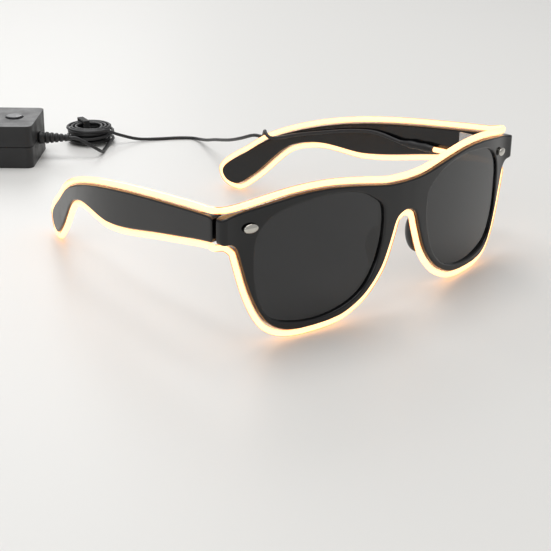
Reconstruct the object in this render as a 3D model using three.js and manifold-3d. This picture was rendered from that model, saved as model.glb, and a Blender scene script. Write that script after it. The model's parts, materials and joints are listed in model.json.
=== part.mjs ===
// Party glasses with a glowing wire along their edges, and the battery pack that drives it on a thin lead.
// Millimetres, +Z up. The lenses face -Y, the arms reach towards +Y, and the wearer's left arm is at +X.
import * as THREE from 'three';
import { mergeVertices } from 'three/addons/utils/BufferGeometryUtils.js';
import Module from 'manifold-3d';

const wasm = await Module();
wasm.setup();

// Driving dimensions of the glasses. The outline is the glowing wire's centreline.
const half_span = 73;
const front_rise = 48.1;
const front_bow = 11.75;
const arm_length = 129;
const arm_inset = 27.3;
const wire_d = 2.3;
const lead_d = 1.5;

// Clearances and overruns
const seat_gap = 0.3;
const glue_gap = 0.2;
const overrun = 2;
const weld = 0.0001;

// The moulded front and its lenses
const front_t = 4.0;
const face_reveal = 1.7;
const wire_set_back = 1.0;
const end_round = 2.6;
const round_lead = 0.2;
const lens_t = 1.8;
const lens_lip = 0.5;
const pad_reach = 4.6;
const pad_half_width = 3.0;
const pad_half_height = 7.2;
const pad_sides = 14;
const pad_rings = 8;

// The arms
const arm_t = 3.6;
const arm_reveal = 1.5;

// The hinges
const pin_stand = 4.4;
const ear_r = 2.0;
const leaf_t = 0.9;
const leaf_length = 10;
const front_leaf_width = 6.2;
const hinge_height = 7.0;
const screw_d = 1.5;
const screw_head_d = 3.0;
const screw_head_t = 0.8;
const stud_inset = 10;
const stud_width = 5.2;
const stud_height = 3.2;
const stud_dome = 0.9;
const stud_pin_d = 1.6;

// The wire's two ends and the lead along the left arm
const wire_split_inset = 6;
const wire_split_y = 9;
const wire_end_y = 8;
const corner_cut = 3.2;
const cap_d = 3.3;
const cap_length = 4.5;
const cap_hold = 3;
const feed_z = 33.6;
const feed_end_y = 34;
const feed_turn_deg = 80;
const splice_d = 3.2;
const splice_length = 15;
const splice_hold = 5;

// The battery pack: cells, contacts, shells, board
const cell_d = 14.5;
const cell_length = 50.5;
const cell_nub_d = 5.5;
const cell_nub = 1.2;
const cell_gap = 1.0;
const cell_headroom = 1.3;
const cell_side_room = 1.0;
const contact_t = 0.5;
const contact_width = 11;
const contact_height = 10;
const spring_length = 5.0;
const spring_wire_d = 0.7;
const spring_wide_r = 4.2;
const spring_narrow_r = 2.6;
const spring_turns = 4;
const spring_steps = 8;
const spring_sides = 5;
const pack_wall = 2.0;
const pack_floor = 1.6;
const pack_corner_r = 3.0;
const partition_t = 1.6;
const board_room = 21;
const door_t = 1.8;
const door_tongue = 0.8;
const door_tongue_t = 0.9;
const door_rib_depth = 0.6;
const door_rib_width = 1.0;
const door_rib_pitch = 2.2;
const door_ribs = 5;
const door_rib_length = 14;
const door_rib_inset = 9;
const boss_d = 6.4;
const boss_inset = 2.8;
const cover_boss_d = 5;
const pack_screw_d = 2.0;
const pack_screw_head_d = 4.0;
const pack_screw_head_t = 1.4;
const pack_screw_length = 13;
const board_t = 1.2;
const board_z = 4.2;
const ledge_t = 1.5;
const ledge_y = 8.5;
const switch_side = 6;
const switch_height = 3.5;
const switch_stem_d = 3.4;
const button_d = 8;
const button_flange_d = 10;
const button_flange_t = 1.0;
const button_proud = 0.8;
const button_travel = 0.5;
const button_from_end = 10.8;
const core_length = 10.5;
const core_depth = 4.6;
const core_height = 9;
const core_leg = 2.0;
const core_yoke = 1.8;
const core_middle_leg = 2.8;
const core_from_wall = 5;
const film_length = 7;
const film_depth = 3.2;
const film_height = 6;
const can_d = 5;
const can_height = 7;
const transistor_d = 4.6;
const transistor_height = 4.8;
const transistor_flat = 1.3;

// The strain relief where the lead leaves the pack
const boot_length = 14;
const boot_d = 6;
const boot_tip_d = 3;
const boot_neck_d = 4.2;
const boot_flange_d = 6.6;
const boot_flange_t = 1.2;
const boot_hold = 4;

// Where the pack and the coil of spare lead lie
const pack_near_corner = [-2, 207];
const pack_turn_deg = -44.3;
const coil_centre = [45, 227];
const coil_outer_r = 11.4;
const coil_pitch = 1.95;
const coil_layers = 4;
const coil_start_deg = -100;
const coil_end_deg = -60;
const coil_whole_turns = 11;
const coil_steps = 20;
const coil_sides = 6;
const coil_climb_turns = 0.5;
const tie_t = 0.8;
const tie_width = 3;
const tie_deg = 75;
const lead_table_z = 0.8;

// Facet counts
const tube_sides = 8;
const round_sides = 20;
const bore_sides = 16;
const steps_per_point = 2;
const slab_steps = 24;
const round_steps = 4;
const corner_segments = 5;

// Shares of half_span and front_rise that draw the wire's two lines on the front, from the middle out
const bow_power_share = 1.82;
const pad_place_shares = [0.145, 0.444];
const lead_cross_share = 0.863;
const top_shares = [[0, 0.919], [0.123, 0.927], [0.274, 0.965], [0.466, 1], [0.658, 0.996],
  [0.836, 0.96], [0.918, 0.941], [1, 0.921]];
const bottom_shares = [[0, 0.651], [0.045, 0.628], [0.068, 0.543], [0.1, 0.415], [0.14, 0.291],
  [0.232, 0.139], [0.31, 0.068], [0.39, 0.021], [0.541, 0], [0.695, 0.019], [0.792, 0.106],
  [0.864, 0.304], [0.904, 0.495], [0.926, 0.62], [0.935, 0.66], [0.955, 0.684], [0.99, 0.688]];
const bottom_split_share = 0.926;
// The lens opening, from the nose side over the top and round
const opening_shares = [[0.153, 0.724], [0.171, 0.782], [0.212, 0.826], [0.267, 0.875], [0.349, 0.911],
  [0.466, 0.925], [0.575, 0.915], [0.681, 0.894], [0.763, 0.848], [0.816, 0.765], [0.836, 0.682],
  [0.84, 0.568], [0.834, 0.391], [0.808, 0.256], [0.762, 0.154], [0.671, 0.1], [0.555, 0.077],
  [0.433, 0.092], [0.342, 0.133], [0.274, 0.191], [0.212, 0.297], [0.175, 0.422], [0.153, 0.557]];
// Shares of arm_length and front_rise that draw the wire round an arm, over the tip and back to the hinge
const arm_shares = [[0, 0.921], [0.07, 0.91], [0.198, 0.881], [0.392, 0.827], [0.57, 0.75],
  [0.721, 0.641], [0.836, 0.508], [0.909, 0.367], [0.97, 0.255], [1, 0.155], [0.983, 0.04],
  [0.935, 0], [0.888, 0.08], [0.846, 0.18], [0.8, 0.31], [0.748, 0.43], [0.668, 0.488],
  [0.594, 0.483], [0.515, 0.464], [0.415, 0.493], [0.29, 0.56], [0.159, 0.626], [0.063, 0.672],
  [0, 0.69]];
const arm_inset_shares = [[0, 0], [0.155, 0.07], [0.35, 0.16], [0.505, 0.256], [0.62, 0.37],
  [0.735, 0.538], [0.85, 0.738], [0.97, 0.945], [1, 1], [1.05, 1.09]];
const arm_start_share = 0.977;

// The lead's free route, chosen by hand: from the left arm down to the table and to the coil
const lead_drop = [[54, 119, 23.2], [57, 130, 19.2], [61.2, 141, 15.4], [66.8, 153, 11.8],
  [73, 166, 8.2], [79.5, 180, 4], [84, 190, 1.6], [84.8, 196, lead_table_z],
  [80, 201, lead_table_z], [71, 206.5, lead_table_z], [62, 211, 1.5], [53, 214.2, 4.6]];
const lead_to_boot = [[46.3, 214.2, 1.3], [41, 209.8, lead_table_z], [35.5, 204.9, 1.4],
  [30, 202.4, 4.6]];

const wire_r = wire_d / 2;
const lead_r = lead_d / 2;
const wire_stand = wire_r + seat_gap;
const degrees = THREE.MathUtils.degToRad;
const V = (x, y, z) => new THREE.Vector3(x, y, z);

const plastic = (color, roughness) => new THREE.MeshStandardMaterial({ color, roughness, metalness: 0 });
const metal = (color, roughness) => new THREE.MeshStandardMaterial({ color, roughness, metalness: 1 });
const black_gloss = plastic(0x08080a, 0.12);
const lens_grey = new THREE.MeshStandardMaterial({
  color: 0x17181b, roughness: 0.05, metalness: 0, transparent: true, opacity: 0.85,
});
const glow = new THREE.MeshStandardMaterial({
  color: 0xffe2a8, emissive: 0xffdf9c, roughness: 0.4, metalness: 0,
});
const lead_pvc = plastic(0x101012, 0.5);
const shrink = plastic(0x0d0d0e, 0.45);
const steel = metal(0xb9bcc0, 0.3);
const nickel = metal(0xc8c6c0, 0.22);
const pack_plastic = plastic(0x111113, 0.35);
const board_green = plastic(0x1f5a34, 0.5);
const ferrite = plastic(0x2c2c2e, 0.7);
const copper = metal(0xb8672e, 0.35);
const film_red = plastic(0x8e2f1f, 0.4);
const can_blue = plastic(0x1d2f5c, 0.35);
const epoxy = plastic(0x161616, 0.5);
const cell_wrap = plastic(0x3a5a3c, 0.35);

// A smooth function through a table of [place, value]
function smooth(table) {
  const last = table.length - 2;
  const slope = (k) => {
    const a = table[Math.max(k - 1, 0)];
    const b = table[Math.min(k + 1, table.length - 1)];
    return (b[1] - a[1]) / (b[0] - a[0]);
  };
  return (at) => {
    let i = 0;
    while (i < last && at > table[i + 1][0]) i += 1;
    const width = table[i + 1][0] - table[i][0];
    const t = THREE.MathUtils.clamp((at - table[i][0]) / width, 0, 1);
    const keep = 1 - t;
    const rise = width * (slope(i) * keep - slope(i + 1) * t);
    return table[i][1] * keep * keep * (1 + 2 * t) + table[i + 1][1] * t * t * (3 - 2 * t) + t * keep * rise;
  };
}

// Points along a smooth line through the given ones
function curved(points, perPoint = steps_per_point, closed = false) {
  const curve = new THREE.CatmullRomCurve3(points, closed, 'centripetal');
  const pieces = (points.length - (closed ? 0 : 1)) * perPoint;
  const found = curve.getPoints(pieces);
  if (closed) found.pop();
  return found;
}

// A flat line's points moved sideways in their plane, to the left of the way they run
function beside(points, distance, closed = false) {
  const n = points.length;
  return points.map(([u, v], i) => {
    const a = points[closed ? (i + n - 1) % n : Math.max(i - 1, 0)];
    const b = points[closed ? (i + 1) % n : Math.min(i + 1, n - 1)];
    const run = Math.hypot(b[0] - a[0], b[1] - a[1]);
    return [u - ((b[1] - a[1]) / run) * distance, v + ((b[0] - a[0]) / run) * distance];
  });
}

function solid(geometry) {
  const bare = geometry.clone();
  bare.deleteAttribute('normal');
  bare.deleteAttribute('uv');
  const merged = mergeVertices(bare, weld);
  return new wasm.Manifold(new wasm.Mesh({
    numProp: 3,
    vertProperties: Float32Array.from(merged.attributes.position.array),
    triVerts: Uint32Array.from(merged.index.array),
  }));
}

function geometryOf(body) {
  const mesh = body.getMesh();
  const geometry = new THREE.BufferGeometry();
  geometry.setAttribute('position', new THREE.BufferAttribute(Float32Array.from(mesh.vertProperties), 3));
  geometry.setIndex(Array.from(mesh.triVerts));
  geometry.computeVertexNormals();
  return geometry;
}

// An outline extruded between two heights. The plane says which axes the outline and the height use.
const PLANES = {
  xy: new THREE.Matrix4().makeBasis(V(1, 0, 0), V(0, 1, 0), V(0, 0, 1)),
  xz: new THREE.Matrix4().makeBasis(V(1, 0, 0), V(0, 0, 1), V(0, -1, 0)),
  yz: new THREE.Matrix4().makeBasis(V(0, 1, 0), V(0, 0, 1), V(1, 0, 0)),
};

function prism(outline, plane, low, high) {
  const shape = new THREE.Shape(outline.map(([u, v]) => new THREE.Vector2(u, v)));
  const geometry = new THREE.ExtrudeGeometry(shape, { depth: high - low, bevelEnabled: false });
  geometry.translate(0, 0, plane === 'xz' ? -high : low);
  geometry.applyMatrix4(PLANES[plane]);
  return solid(geometry);
}

const rectangle = (u0, u1, v0, v1) => [[u0, v0], [u1, v0], [u1, v1], [u0, v1]];
const block = (x0, x1, y0, y1, z0, z1) => prism(rectangle(x0, x1, y0, y1), 'xy', z0, z1);

// A round bar between two heights, with a profile of [radius, height] if it isn't plain
function turned(profile, sides = round_sides) {
  const points = profile.map(([r, h]) => new THREE.Vector2(r, h));
  return solid(new THREE.LatheGeometry(points, sides).rotateX(Math.PI / 2));
}
const bar = (r, low, high, sides = bore_sides) => turned([[0, low], [r, low], [r, high], [0, high]], sides);

// A closed tube of flat-sided section along a line of points
function tube(points, radius, sides = tube_sides) {
  const last = points.length - 1;
  const position = [];
  const index = [];
  let across = null;
  points.forEach((point, i) => {
    const ahead = points[Math.min(i + 1, last)].clone().sub(points[Math.max(i - 1, 0)]).normalize();
    if (!across) across = Math.abs(ahead.z) > Math.SQRT1_2 ? V(1, 0, 0) : V(0, 0, 1);
    across = across.clone().addScaledVector(ahead, -across.dot(ahead)).normalize();
    const third = ahead.clone().cross(across);
    for (let k = 0; k < sides; k += 1) {
      const turn = ((k + 0.5) / sides) * Math.PI * 2;
      const p = point.clone().addScaledVector(across, radius * Math.cos(turn));
      position.push(...p.addScaledVector(third, radius * Math.sin(turn)).toArray());
    }
  });
  for (let i = 0; i < last; i += 1) {
    for (let k = 0; k < sides; k += 1) {
      const a = i * sides + k;
      const b = i * sides + ((k + 1) % sides);
      index.push(a, b, b + sides, a, b + sides, a + sides);
    }
  }
  for (let k = 1; k < sides - 1; k += 1) {
    index.push(0, k + 1, k);
    index.push(last * sides, last * sides + k, last * sides + k + 1);
  }
  const geometry = new THREE.BufferGeometry();
  geometry.setAttribute('position', new THREE.Float32BufferAttribute(position, 3));
  geometry.setIndex(index);
  geometry.computeVertexNormals();
  return geometry;
}

// A line shortened by a length at each end, so that what it meets keeps its gap
function trimmed(points, fromStart, fromEnd) {
  const cut = (line, length) => {
    const rest = line.map((p) => p.clone());
    let left = length;
    while (rest.length > 2 && rest[0].distanceTo(rest[1]) <= left) {
      left -= rest[0].distanceTo(rest[1]);
      rest.shift();
    }
    rest[0].lerp(rest[1], left / rest[0].distanceTo(rest[1]));
    return rest;
  };
  return cut(cut(points, fromStart).reverse(), fromEnd).reverse();
}

const lengthOf = (points) => points.slice(1).reduce((sum, p, i) => sum + p.distanceTo(points[i]), 0);

const model = new THREE.Group();
const glasses = new THREE.Group();
const pack = new THREE.Group();
const cord_names = [];
model.add(glasses, pack);

function add(name, geometry, material, group = glasses) {
  const ready = geometry instanceof THREE.BufferGeometry;
  const mesh = new THREE.Mesh(ready ? geometry : geometryOf(geometry), material);
  mesh.name = name;
  group.add(mesh);
  return mesh;
}

// The front's line seen from above, and an arm's
const bowAt = (x) => 1 - Math.min(Math.abs(x) / half_span, 1) ** bow_power_share;
const lineY = (x) => wire_set_back - front_bow * bowAt(x);
const insetAt = smooth(arm_inset_shares);
const armX = (y) => half_span * arm_start_share - arm_inset * insetAt(y / arm_length);
const zOf = (share) => wire_r + front_rise * share;
const rearY = (x) => lineY(x) + front_t - face_reveal;
const innerX = (y) => armX(y) - (arm_t - arm_reveal);

// A curved slab that follows the front, between two offsets behind the wire's line
function frontSlab(near, far) {
  const xs = Array.from({ length: slab_steps + 1 }, (_, i) => (i / slab_steps) * 2 - 1);
  const edge = half_span + overrun;
  const line = xs.map((s) => [s * edge, lineY(s * edge)]);
  const outline = [...line.map(([x, y]) => [x, y + near]), ...line.reverse().map(([x, y]) => [x, y + far])];
  return prism(outline, 'xy', -overrun, front_rise + wire_d + overrun);
}

// The same for the left arm, between two offsets inwards from the wire's line
function armSlab(near, far) {
  const reach = arm_length + overrun;
  const ys = Array.from({ length: slab_steps + 1 }, (_, i) => (i / slab_steps) * reach);
  const line = ys.map((y) => [armX(y), y]);
  const outline = [...line.map(([x, y]) => [x - near, y]), ...line.reverse().map(([x, y]) => [x - far, y])];
  return prism(outline, 'xy', -overrun, front_rise + wire_d + overrun);
}

// The wire's lines on the front, in its plane
const half_top = curved(top_shares.map(([u, v]) => V(u * half_span, 0, zOf(v))));
const half_bottom = curved(bottom_shares.map(([u, v]) => V(u * half_span, 0, zOf(v))));
const mirrored = (half) => [...half.slice(1).reverse().map((p) => V(-p.x, p.y, p.z)), ...half];
const flat = (points) => points.map((p) => [p.x, p.z]);
const onFront = (p) => V(p.x, lineY(p.x), p.z);

// Moulded front: the outline inside the wire, bent to the bow, with a groove round each opening
const top_edge = beside(flat(mirrored(half_top)), -wire_stand);
const bottom_edge = beside(flat(mirrored(half_bottom)), wire_stand);
const end_x = armX(0) + arm_reveal;
const within = ([x]) => Math.abs(x) < end_x;
const top_end_z = smooth(top_shares)(end_x / half_span);
const corners = [[end_x, zOf(top_end_z) - wire_stand], [end_x, zOf(bottom_shares.at(-1)[1]) + wire_stand]];
const front_outline = [
  ...bottom_edge.filter(within), corners[1], corners[0],
  ...top_edge.filter(within).reverse(),
  [-corners[0][0], corners[0][1]], [-corners[1][0], corners[1][1]],
];
const wire_split_x = half_span - wire_split_inset;
const hinge_z = (corners[0][1] + corners[1][1]) / 2;
const stud_x = half_span - stud_inset;
const pad_x = half_span * pad_place_shares[0];
const pad_z = zOf(pad_place_shares[1]);
const opening_points = opening_shares.map(([u, v]) => V(u * half_span, 0, zOf(v)));
const opening = flat(curved(opening_points, steps_per_point, true));
const lens_outline = beside(opening, lens_lip, true);
const groove_outline = beside(opening, lens_lip + seat_gap, true);
const lens_near = front_t / 2 - face_reveal - lens_t / 2;
const deep = front_bow + front_t + overrun;
const across = (body) => body.mirror([1, 0, 0]);

const pad = solid(new THREE.SphereGeometry(1, pad_sides, pad_rings)
  .scale(pad_half_width, pad_reach, pad_half_height)
  .translate(pad_x, rearY(pad_x), pad_z));
// The plate's outer upright edges are rounded, seen from above
const round_x = end_x - end_round;
const round_y = lineY(round_x) - face_reveal - round_lead + end_round;
const quarter = Array.from({ length: round_steps + 1 }, (_, i) => degrees(90) * (1 - i / round_steps));
const rounding = quarter.map((a) => [round_x + end_round * Math.cos(a), round_y - end_round * Math.sin(a)]);
const half_plan = [[round_x, -deep], ...rounding, [end_x, deep]];
const other_half = half_plan.map(([x, y]) => [-x, y]).reverse();
const plan = prism([...half_plan, ...other_half], 'xy', 0, front_rise + wire_d);
const plate = prism(front_outline, 'xz', -deep, deep)
  .intersect(frontSlab(-face_reveal, front_t - face_reveal)).intersect(plan);
const behind = rectangle(-half_span, half_span, rearY(pad_x) - 2 * seat_gap, deep);
const padSide = prism(behind, 'xy', 0, front_rise);
const opening_cut = prism(opening, 'xz', -deep, deep);
const groove_cut = prism(groove_outline, 'xz', -deep, deep)
  .intersect(frontSlab(lens_near - seat_gap, lens_near + lens_t + seat_gap));
const slope = lineY(stud_x + seat_gap) - lineY(stud_x - seat_gap);
const stud_turn = THREE.MathUtils.radToDeg(Math.atan2(slope, 2 * seat_gap));
const atStud = (body) => body.rotate([90, 0, 0]).rotate([0, 0, stud_turn])
  .translate([stud_x, lineY(stud_x) - face_reveal, hinge_z]);
const stud_hole = atStud(bar(stud_pin_d / 2 + seat_gap, -deep, deep));
let front = plate.add(pad.intersect(padSide)).add(across(pad).intersect(padSide));
for (const cut of [opening_cut, groove_cut, stud_hole]) front = front.subtract(cut).subtract(across(cut));
add('front_frame', front, black_gloss);

const lens = prism(lens_outline, 'xz', -deep, deep).intersect(frontSlab(lens_near, lens_near + lens_t));
add('lens_left', lens, lens_grey);
add('lens_right', across(lens), lens_grey);

// Arms: the outline inside the wire, bent to the inset, cut square behind the front
const arm_line = curved(arm_shares.map(([u, v]) => V(0, u * arm_length, zOf(v))));
const arm_front_y = Math.max(rearY(end_x), rearY(end_x - arm_t)) + seat_gap;
const arm_edge = beside(arm_line.map((p) => [p.y, p.z]), -wire_stand).filter(([y]) => y > arm_front_y);
const arm_top_z = arm_edge[0][1];
const arm_bottom_z = arm_edge.at(-1)[1];
const arm_outline = [[arm_front_y, arm_top_z], ...arm_edge, [arm_front_y, arm_bottom_z]].reverse();
const arm = prism(arm_outline, 'yz', 0, half_span + overrun)
  .intersect(armSlab(-arm_reveal, arm_t - arm_reveal));

// Hinges: two ears on the front's leaf, one between them on the arm's leaf, and a screw through all three
const pin_x = innerX(wire_split_y) - seat_gap - ear_r;
const pin_y = rearY(pin_x) + pin_stand;
const hinge_low = hinge_z - hinge_height / 2;
const hinge_high = hinge_z + hinge_height / 2;
const ear_t = (hinge_height - 2 * seat_gap) / 3;
const atPin = (body) => body.translate([pin_x, pin_y, 0]);
const bore = atPin(bar(screw_d / 2 + seat_gap, 0, front_rise));
const ear = (low, high) => atPin(bar(ear_r, low, high));
const front_leaf_near = front_t - face_reveal + seat_gap;
const front_leaf_slab = frontSlab(front_leaf_near, front_leaf_near + leaf_t);
const frontEar = (low, high) => ear(low, high).add(
  block(pin_x - ear_r / 2, pin_x + ear_r / 2, rearY(pin_x) + seat_gap + leaf_t / 2, pin_y, low, high),
);
const front_leaf = rectangle(pin_x - front_leaf_width, pin_x + ear_r, hinge_low, hinge_high);
let front_hinge = prism(front_leaf, 'xz', -deep, deep).intersect(front_leaf_slab);
front_hinge = front_hinge.add(frontEar(hinge_low, hinge_low + ear_t));
front_hinge = front_hinge.add(frontEar(hinge_high - ear_t, hinge_high));
front_hinge = front_hinge.subtract(bore).subtract(stud_hole);
add('front_hinge_left', front_hinge, steel);
add('front_hinge_right', across(front_hinge), steel);

const middle_low = hinge_low + ear_t + seat_gap;
const middle_high = middle_low + ear_t;
const arm_leaf_slab = armSlab(arm_t - arm_reveal + seat_gap, arm_t - arm_reveal + seat_gap + leaf_t);
const leaf_start = pin_y + ear_r + seat_gap * 2;
const leaf_taper_z = hinge_height / 6;
const arm_leaf = prism([
  [pin_y, middle_low], [leaf_start, middle_low], [leaf_start, hinge_low],
  [leaf_start + leaf_length, hinge_low], [leaf_start + leaf_length, hinge_high - leaf_taper_z],
  [leaf_start, hinge_high - leaf_taper_z], [leaf_start, middle_high], [pin_y, middle_high],
], 'yz', 0, half_span).intersect(arm_leaf_slab);
const arm_hinge = arm_leaf.add(ear(middle_low, middle_high)).subtract(bore);
add('temple_hinge_left', arm_hinge, steel);
add('temple_hinge_right', across(arm_hinge), steel);

const hinge_screw = atPin(turned([
  [0, hinge_low], [screw_d / 2, hinge_low], [screw_d / 2, hinge_high + seat_gap],
  [screw_head_d / 2, hinge_high + seat_gap], [screw_head_d / 2, hinge_high + seat_gap + screw_head_t / 2],
  [screw_head_d / 3, hinge_high + seat_gap + screw_head_t], [0, hinge_high + seat_gap + screw_head_t],
], bore_sides));
add('hinge_screw_left', hinge_screw, steel);
add('hinge_screw_right', across(hinge_screw), steel);

// Oval rivet heads on the front's ends, whose pins hold the hinge leaves
const stud_pin = bar(stud_pin_d / 2, -front_t - seat_gap - leaf_t, 2 * seat_gap);
const stud_head = solid(new THREE.SphereGeometry(1, bore_sides, pad_rings).rotateX(Math.PI / 2)
  .scale(stud_width / 2, stud_height / 2, stud_dome))
  .intersect(block(-stud_width, stud_width, -stud_width, stud_width, 0, stud_width));
const stud = atStud(stud_head.translate([0, 0, seat_gap]).add(stud_pin));
add('front_stud_left', stud, nickel);
add('front_stud_right', across(stud), nickel);

// The glowing wire, one length in reality, in a node for each body and each bend that crosses a hinge
const mirrorLine = (points) => points.map((p) => V(-p.x, p.y, p.z));
const before = (line, key, limit) => line.filter((p) => Math.abs(p[key]) <= limit);
const front_top = mirrored(before(half_top, 'x', wire_split_x)).map(onFront);
add('el_wire_front_top', tube(front_top, wire_r), glow);
const bottom_split = bottom_split_share * half_span + seat_gap / 2;
const front_bottom = mirrored(before(half_bottom, 'x', bottom_split)).map(onFront);
add('el_wire_front_bottom', tube(front_bottom, wire_r), glow);

const onArm = (p) => V(armX(p.y), p.y, p.z);
const arm_wire = arm_line.slice(1).filter((p) => p.y >= wire_end_y - seat_gap).map(onArm);
add('el_wire_temple_right', tube(mirrorLine(arm_wire), wire_r), glow);
add('el_wire_temple_left', tube(arm_wire, wire_r), glow);

// A bend from the end of one line to the end of another, leaving and meeting both square
const wayOut = (line) => line.at(-1).clone().sub(line.at(-2)).normalize();
function bendBetween(line, between, other) {
  return curved([
    line.at(-1), line.at(-1).clone().addScaledVector(wayOut(line), wire_r),
    ...between,
    other.at(-1).clone().addScaledVector(wayOut(other), wire_r), other.at(-1),
  ]);
}
const arm_wire_back = [...arm_wire].reverse();
const top_bend_z = (front_top.at(-1).z + arm_wire[0].z) / 2;
const top_bend = trimmed(bendBetween(front_top, [
  V(end_x - corner_cut, lineY(end_x) + seat_gap, top_bend_z),
  V(armX(0) + seat_gap, rearY(end_x) - seat_gap, top_bend_z),
], arm_wire_back), seat_gap, seat_gap);
add('el_wire_corner_top_left', tube(top_bend, wire_r), glow);
add('el_wire_corner_top_right', tube(mirrorLine(top_bend), wire_r), glow);

const bottom_bend_z = zOf(bottom_shares.at(-1)[1]) - seat_gap;
const bottom_bend = bendBetween(front_bottom, [
  V(end_x - corner_cut, lineY(end_x) + seat_gap, bottom_bend_z),
  V(armX(0) + seat_gap, rearY(end_x) - seat_gap, bottom_bend_z),
], arm_wire);
add('el_wire_corner_bottom_right', tube(mirrorLine(trimmed(bottom_bend, seat_gap, seat_gap)), wire_r), glow);

// The blind end of the wire, under a small cap by the left hinge
const boreIn = (body, line, radius) => body.subtract(solid(tube(line, radius, tube_sides)));
function along(from, to, steps) {
  return Array.from({ length: steps + 1 }, (_, i) => from.clone().lerp(to, i / steps));
}
const onCap = (reach) => arm_wire.at(-1).clone().addScaledVector(wayOut(arm_wire), reach);
const cap_line = along(onCap(-cap_hold), onCap(cap_length - cap_hold), 2);
const cap_bore = along(onCap(-cap_hold - overrun), onCap(seat_gap), 2);
const end_cap = boreIn(solid(tube(cap_line, cap_d / 2)), cap_bore, wire_r + glue_gap);
add('el_wire_end_cap', end_cap, shrink);
const cap_room = solid(tube(along(onCap(-cap_hold - seat_gap), onCap(cap_length), 2), cap_d / 2 + seat_gap));
add('temple_left', arm.subtract(cap_room), black_gloss);
add('temple_right', across(arm), black_gloss);

// The fed end: from the front's lower edge, under the left hinge, to a splice on the arm's inner face
const inside = (y, z, r) => V(innerX(y) - seat_gap - r, y, z);
const splice_start = feed_end_y - splice_hold;
const splice_end = splice_start + splice_length;
const feed_turn_r = wire_r + seat_gap;
const feed_turn_steps = 8;
const feed_turn = Array.from({ length: feed_turn_steps + 1 }, (_, i) => {
  const share = i / feed_turn_steps;
  const angle = THREE.MathUtils.degToRad(share * feed_turn_deg);
  return front_bottom.at(-1).clone().add(V(
    share * seat_gap,
    feed_turn_r * (1 - Math.cos(angle)),
    feed_turn_r * Math.sin(angle),
  ));
});
const feed_line = [...feed_turn.slice(0, -1), ...curved([
  feed_turn.at(-1),
  V(pin_x + ear_r, rearY(pin_x) + wire_d, feed_z - 2 * seat_gap),
  inside(pin_y + ear_r, feed_z, wire_r),
  inside(leaf_start + leaf_length / 2, feed_z, wire_r),
  inside(splice_start, feed_z, splice_d / 2),
  inside(feed_end_y, feed_z, splice_d / 2),
], steps_per_point + 1)];
const feed_split = feed_line.findIndex((p) => p.y > pin_y + ear_r + seat_gap);
add('el_wire_feed_bend', tube(trimmed(feed_line.slice(0, feed_split + 1), seat_gap, 0), wire_r), glow);
add('el_wire_feed_end', tube(trimmed(feed_line.slice(feed_split), seat_gap, 0), wire_r), glow);

const armTopZ = (y) => zOf(smooth(arm_shares.slice(0, 8))(y / arm_length));
const lead_rise_share = 0.35;
const lead_start_y = splice_end - splice_hold;
const rise_y = splice_end + splice_length;
const lead_cross_y = arm_length * lead_cross_share;
const past_y = lead_cross_y - wire_d * 2;
const over = (y, away, up) => V(armX(y) + away, y, armTopZ(y) + up);
const lead_line = curved([
  inside(lead_start_y, feed_z, splice_d / 2),
  inside(splice_end, feed_z, splice_d / 2),
  inside(rise_y, (feed_z + armTopZ(rise_y)) / 2 - lead_d, lead_r),
  inside(arm_length * lead_rise_share * 2, armTopZ(arm_length * lead_rise_share * 2) - arm_t, lead_r),
  over(past_y - arm_t, -arm_t - wire_r, -arm_t / 2),
  over(past_y - seat_gap, -arm_t + seat_gap, lead_r),
  over((past_y + lead_cross_y) / 2, -wire_r / 2, wire_r + lead_d),
  over(lead_cross_y, wire_r + lead_r, wire_r + lead_r),
], steps_per_point + 1);
add('lead_on_temple', tube(trimmed(lead_line, 0, seat_gap), lead_r), lead_pvc);

const inSplice = (y) => inside(y, feed_z, splice_d / 2);
const wire_bore = [inSplice(splice_start - overrun), ...feed_line.slice(-3), inSplice(feed_end_y + seat_gap)];
const in_splice = lead_line.slice(0, steps_per_point + 2);
const lead_bore = [inSplice(lead_start_y - seat_gap), ...in_splice, inSplice(splice_end + overrun)];
let splice = solid(tube(along(inSplice(splice_start), inSplice(splice_end), 2), splice_d / 2));
splice = boreIn(splice, wire_bore, wire_r + glue_gap);
splice = boreIn(splice, lead_bore, lead_r + glue_gap);
add('splice_sleeve', splice, shrink);

// Battery pack, in its own group: +X is the end that the lead leaves, its base is at z = 0
const cell_run = 2 * (contact_t + 2 * seat_gap) + spring_length + seat_gap + cell_length;
const pack_length = 2 * pack_wall + cell_run + partition_t + board_room;
const half_length = pack_length / 2;
const cell_pitch = cell_d + cell_gap;
const half_depth = pack_wall + cell_side_room + (cell_pitch + cell_d) / 2;
const pack_height = pack_floor + seat_gap + cell_d + cell_headroom + door_t;
const inner_y = half_depth - pack_wall;
const split_z = pack_height / 2;
const bay_low = pack_wall - half_length;
const bay_high = bay_low + cell_run;
const room_low = bay_high + partition_t;
const room_high = half_length - pack_wall;
const lid_low = pack_height - door_t;
const roof_low = pack_height - pack_floor;
const groove_low = lid_low - seat_gap;
const door_end = bay_high + (partition_t - seat_gap) / 2;
const inPack = (name, geometry, material) => add(name, geometry, material, pack);
const alongX = (body) => body.rotate([0, 90, 0]);

function roundedBox(half_x, half_y, r, z0, z1) {
  const shape = new THREE.Shape();
  shape.absarc(half_x - r, half_y - r, r, 0, Math.PI / 2);
  shape.absarc(r - half_x, half_y - r, r, Math.PI / 2, Math.PI);
  shape.absarc(r - half_x, r - half_y, r, Math.PI, Math.PI * 1.5);
  shape.absarc(half_x - r, r - half_y, r, Math.PI * 1.5, Math.PI * 2);
  const settings = { depth: z1 - z0, bevelEnabled: false, curveSegments: corner_segments };
  return solid(new THREE.ExtrudeGeometry(shape, settings).translate(0, 0, z0));
}

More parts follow.
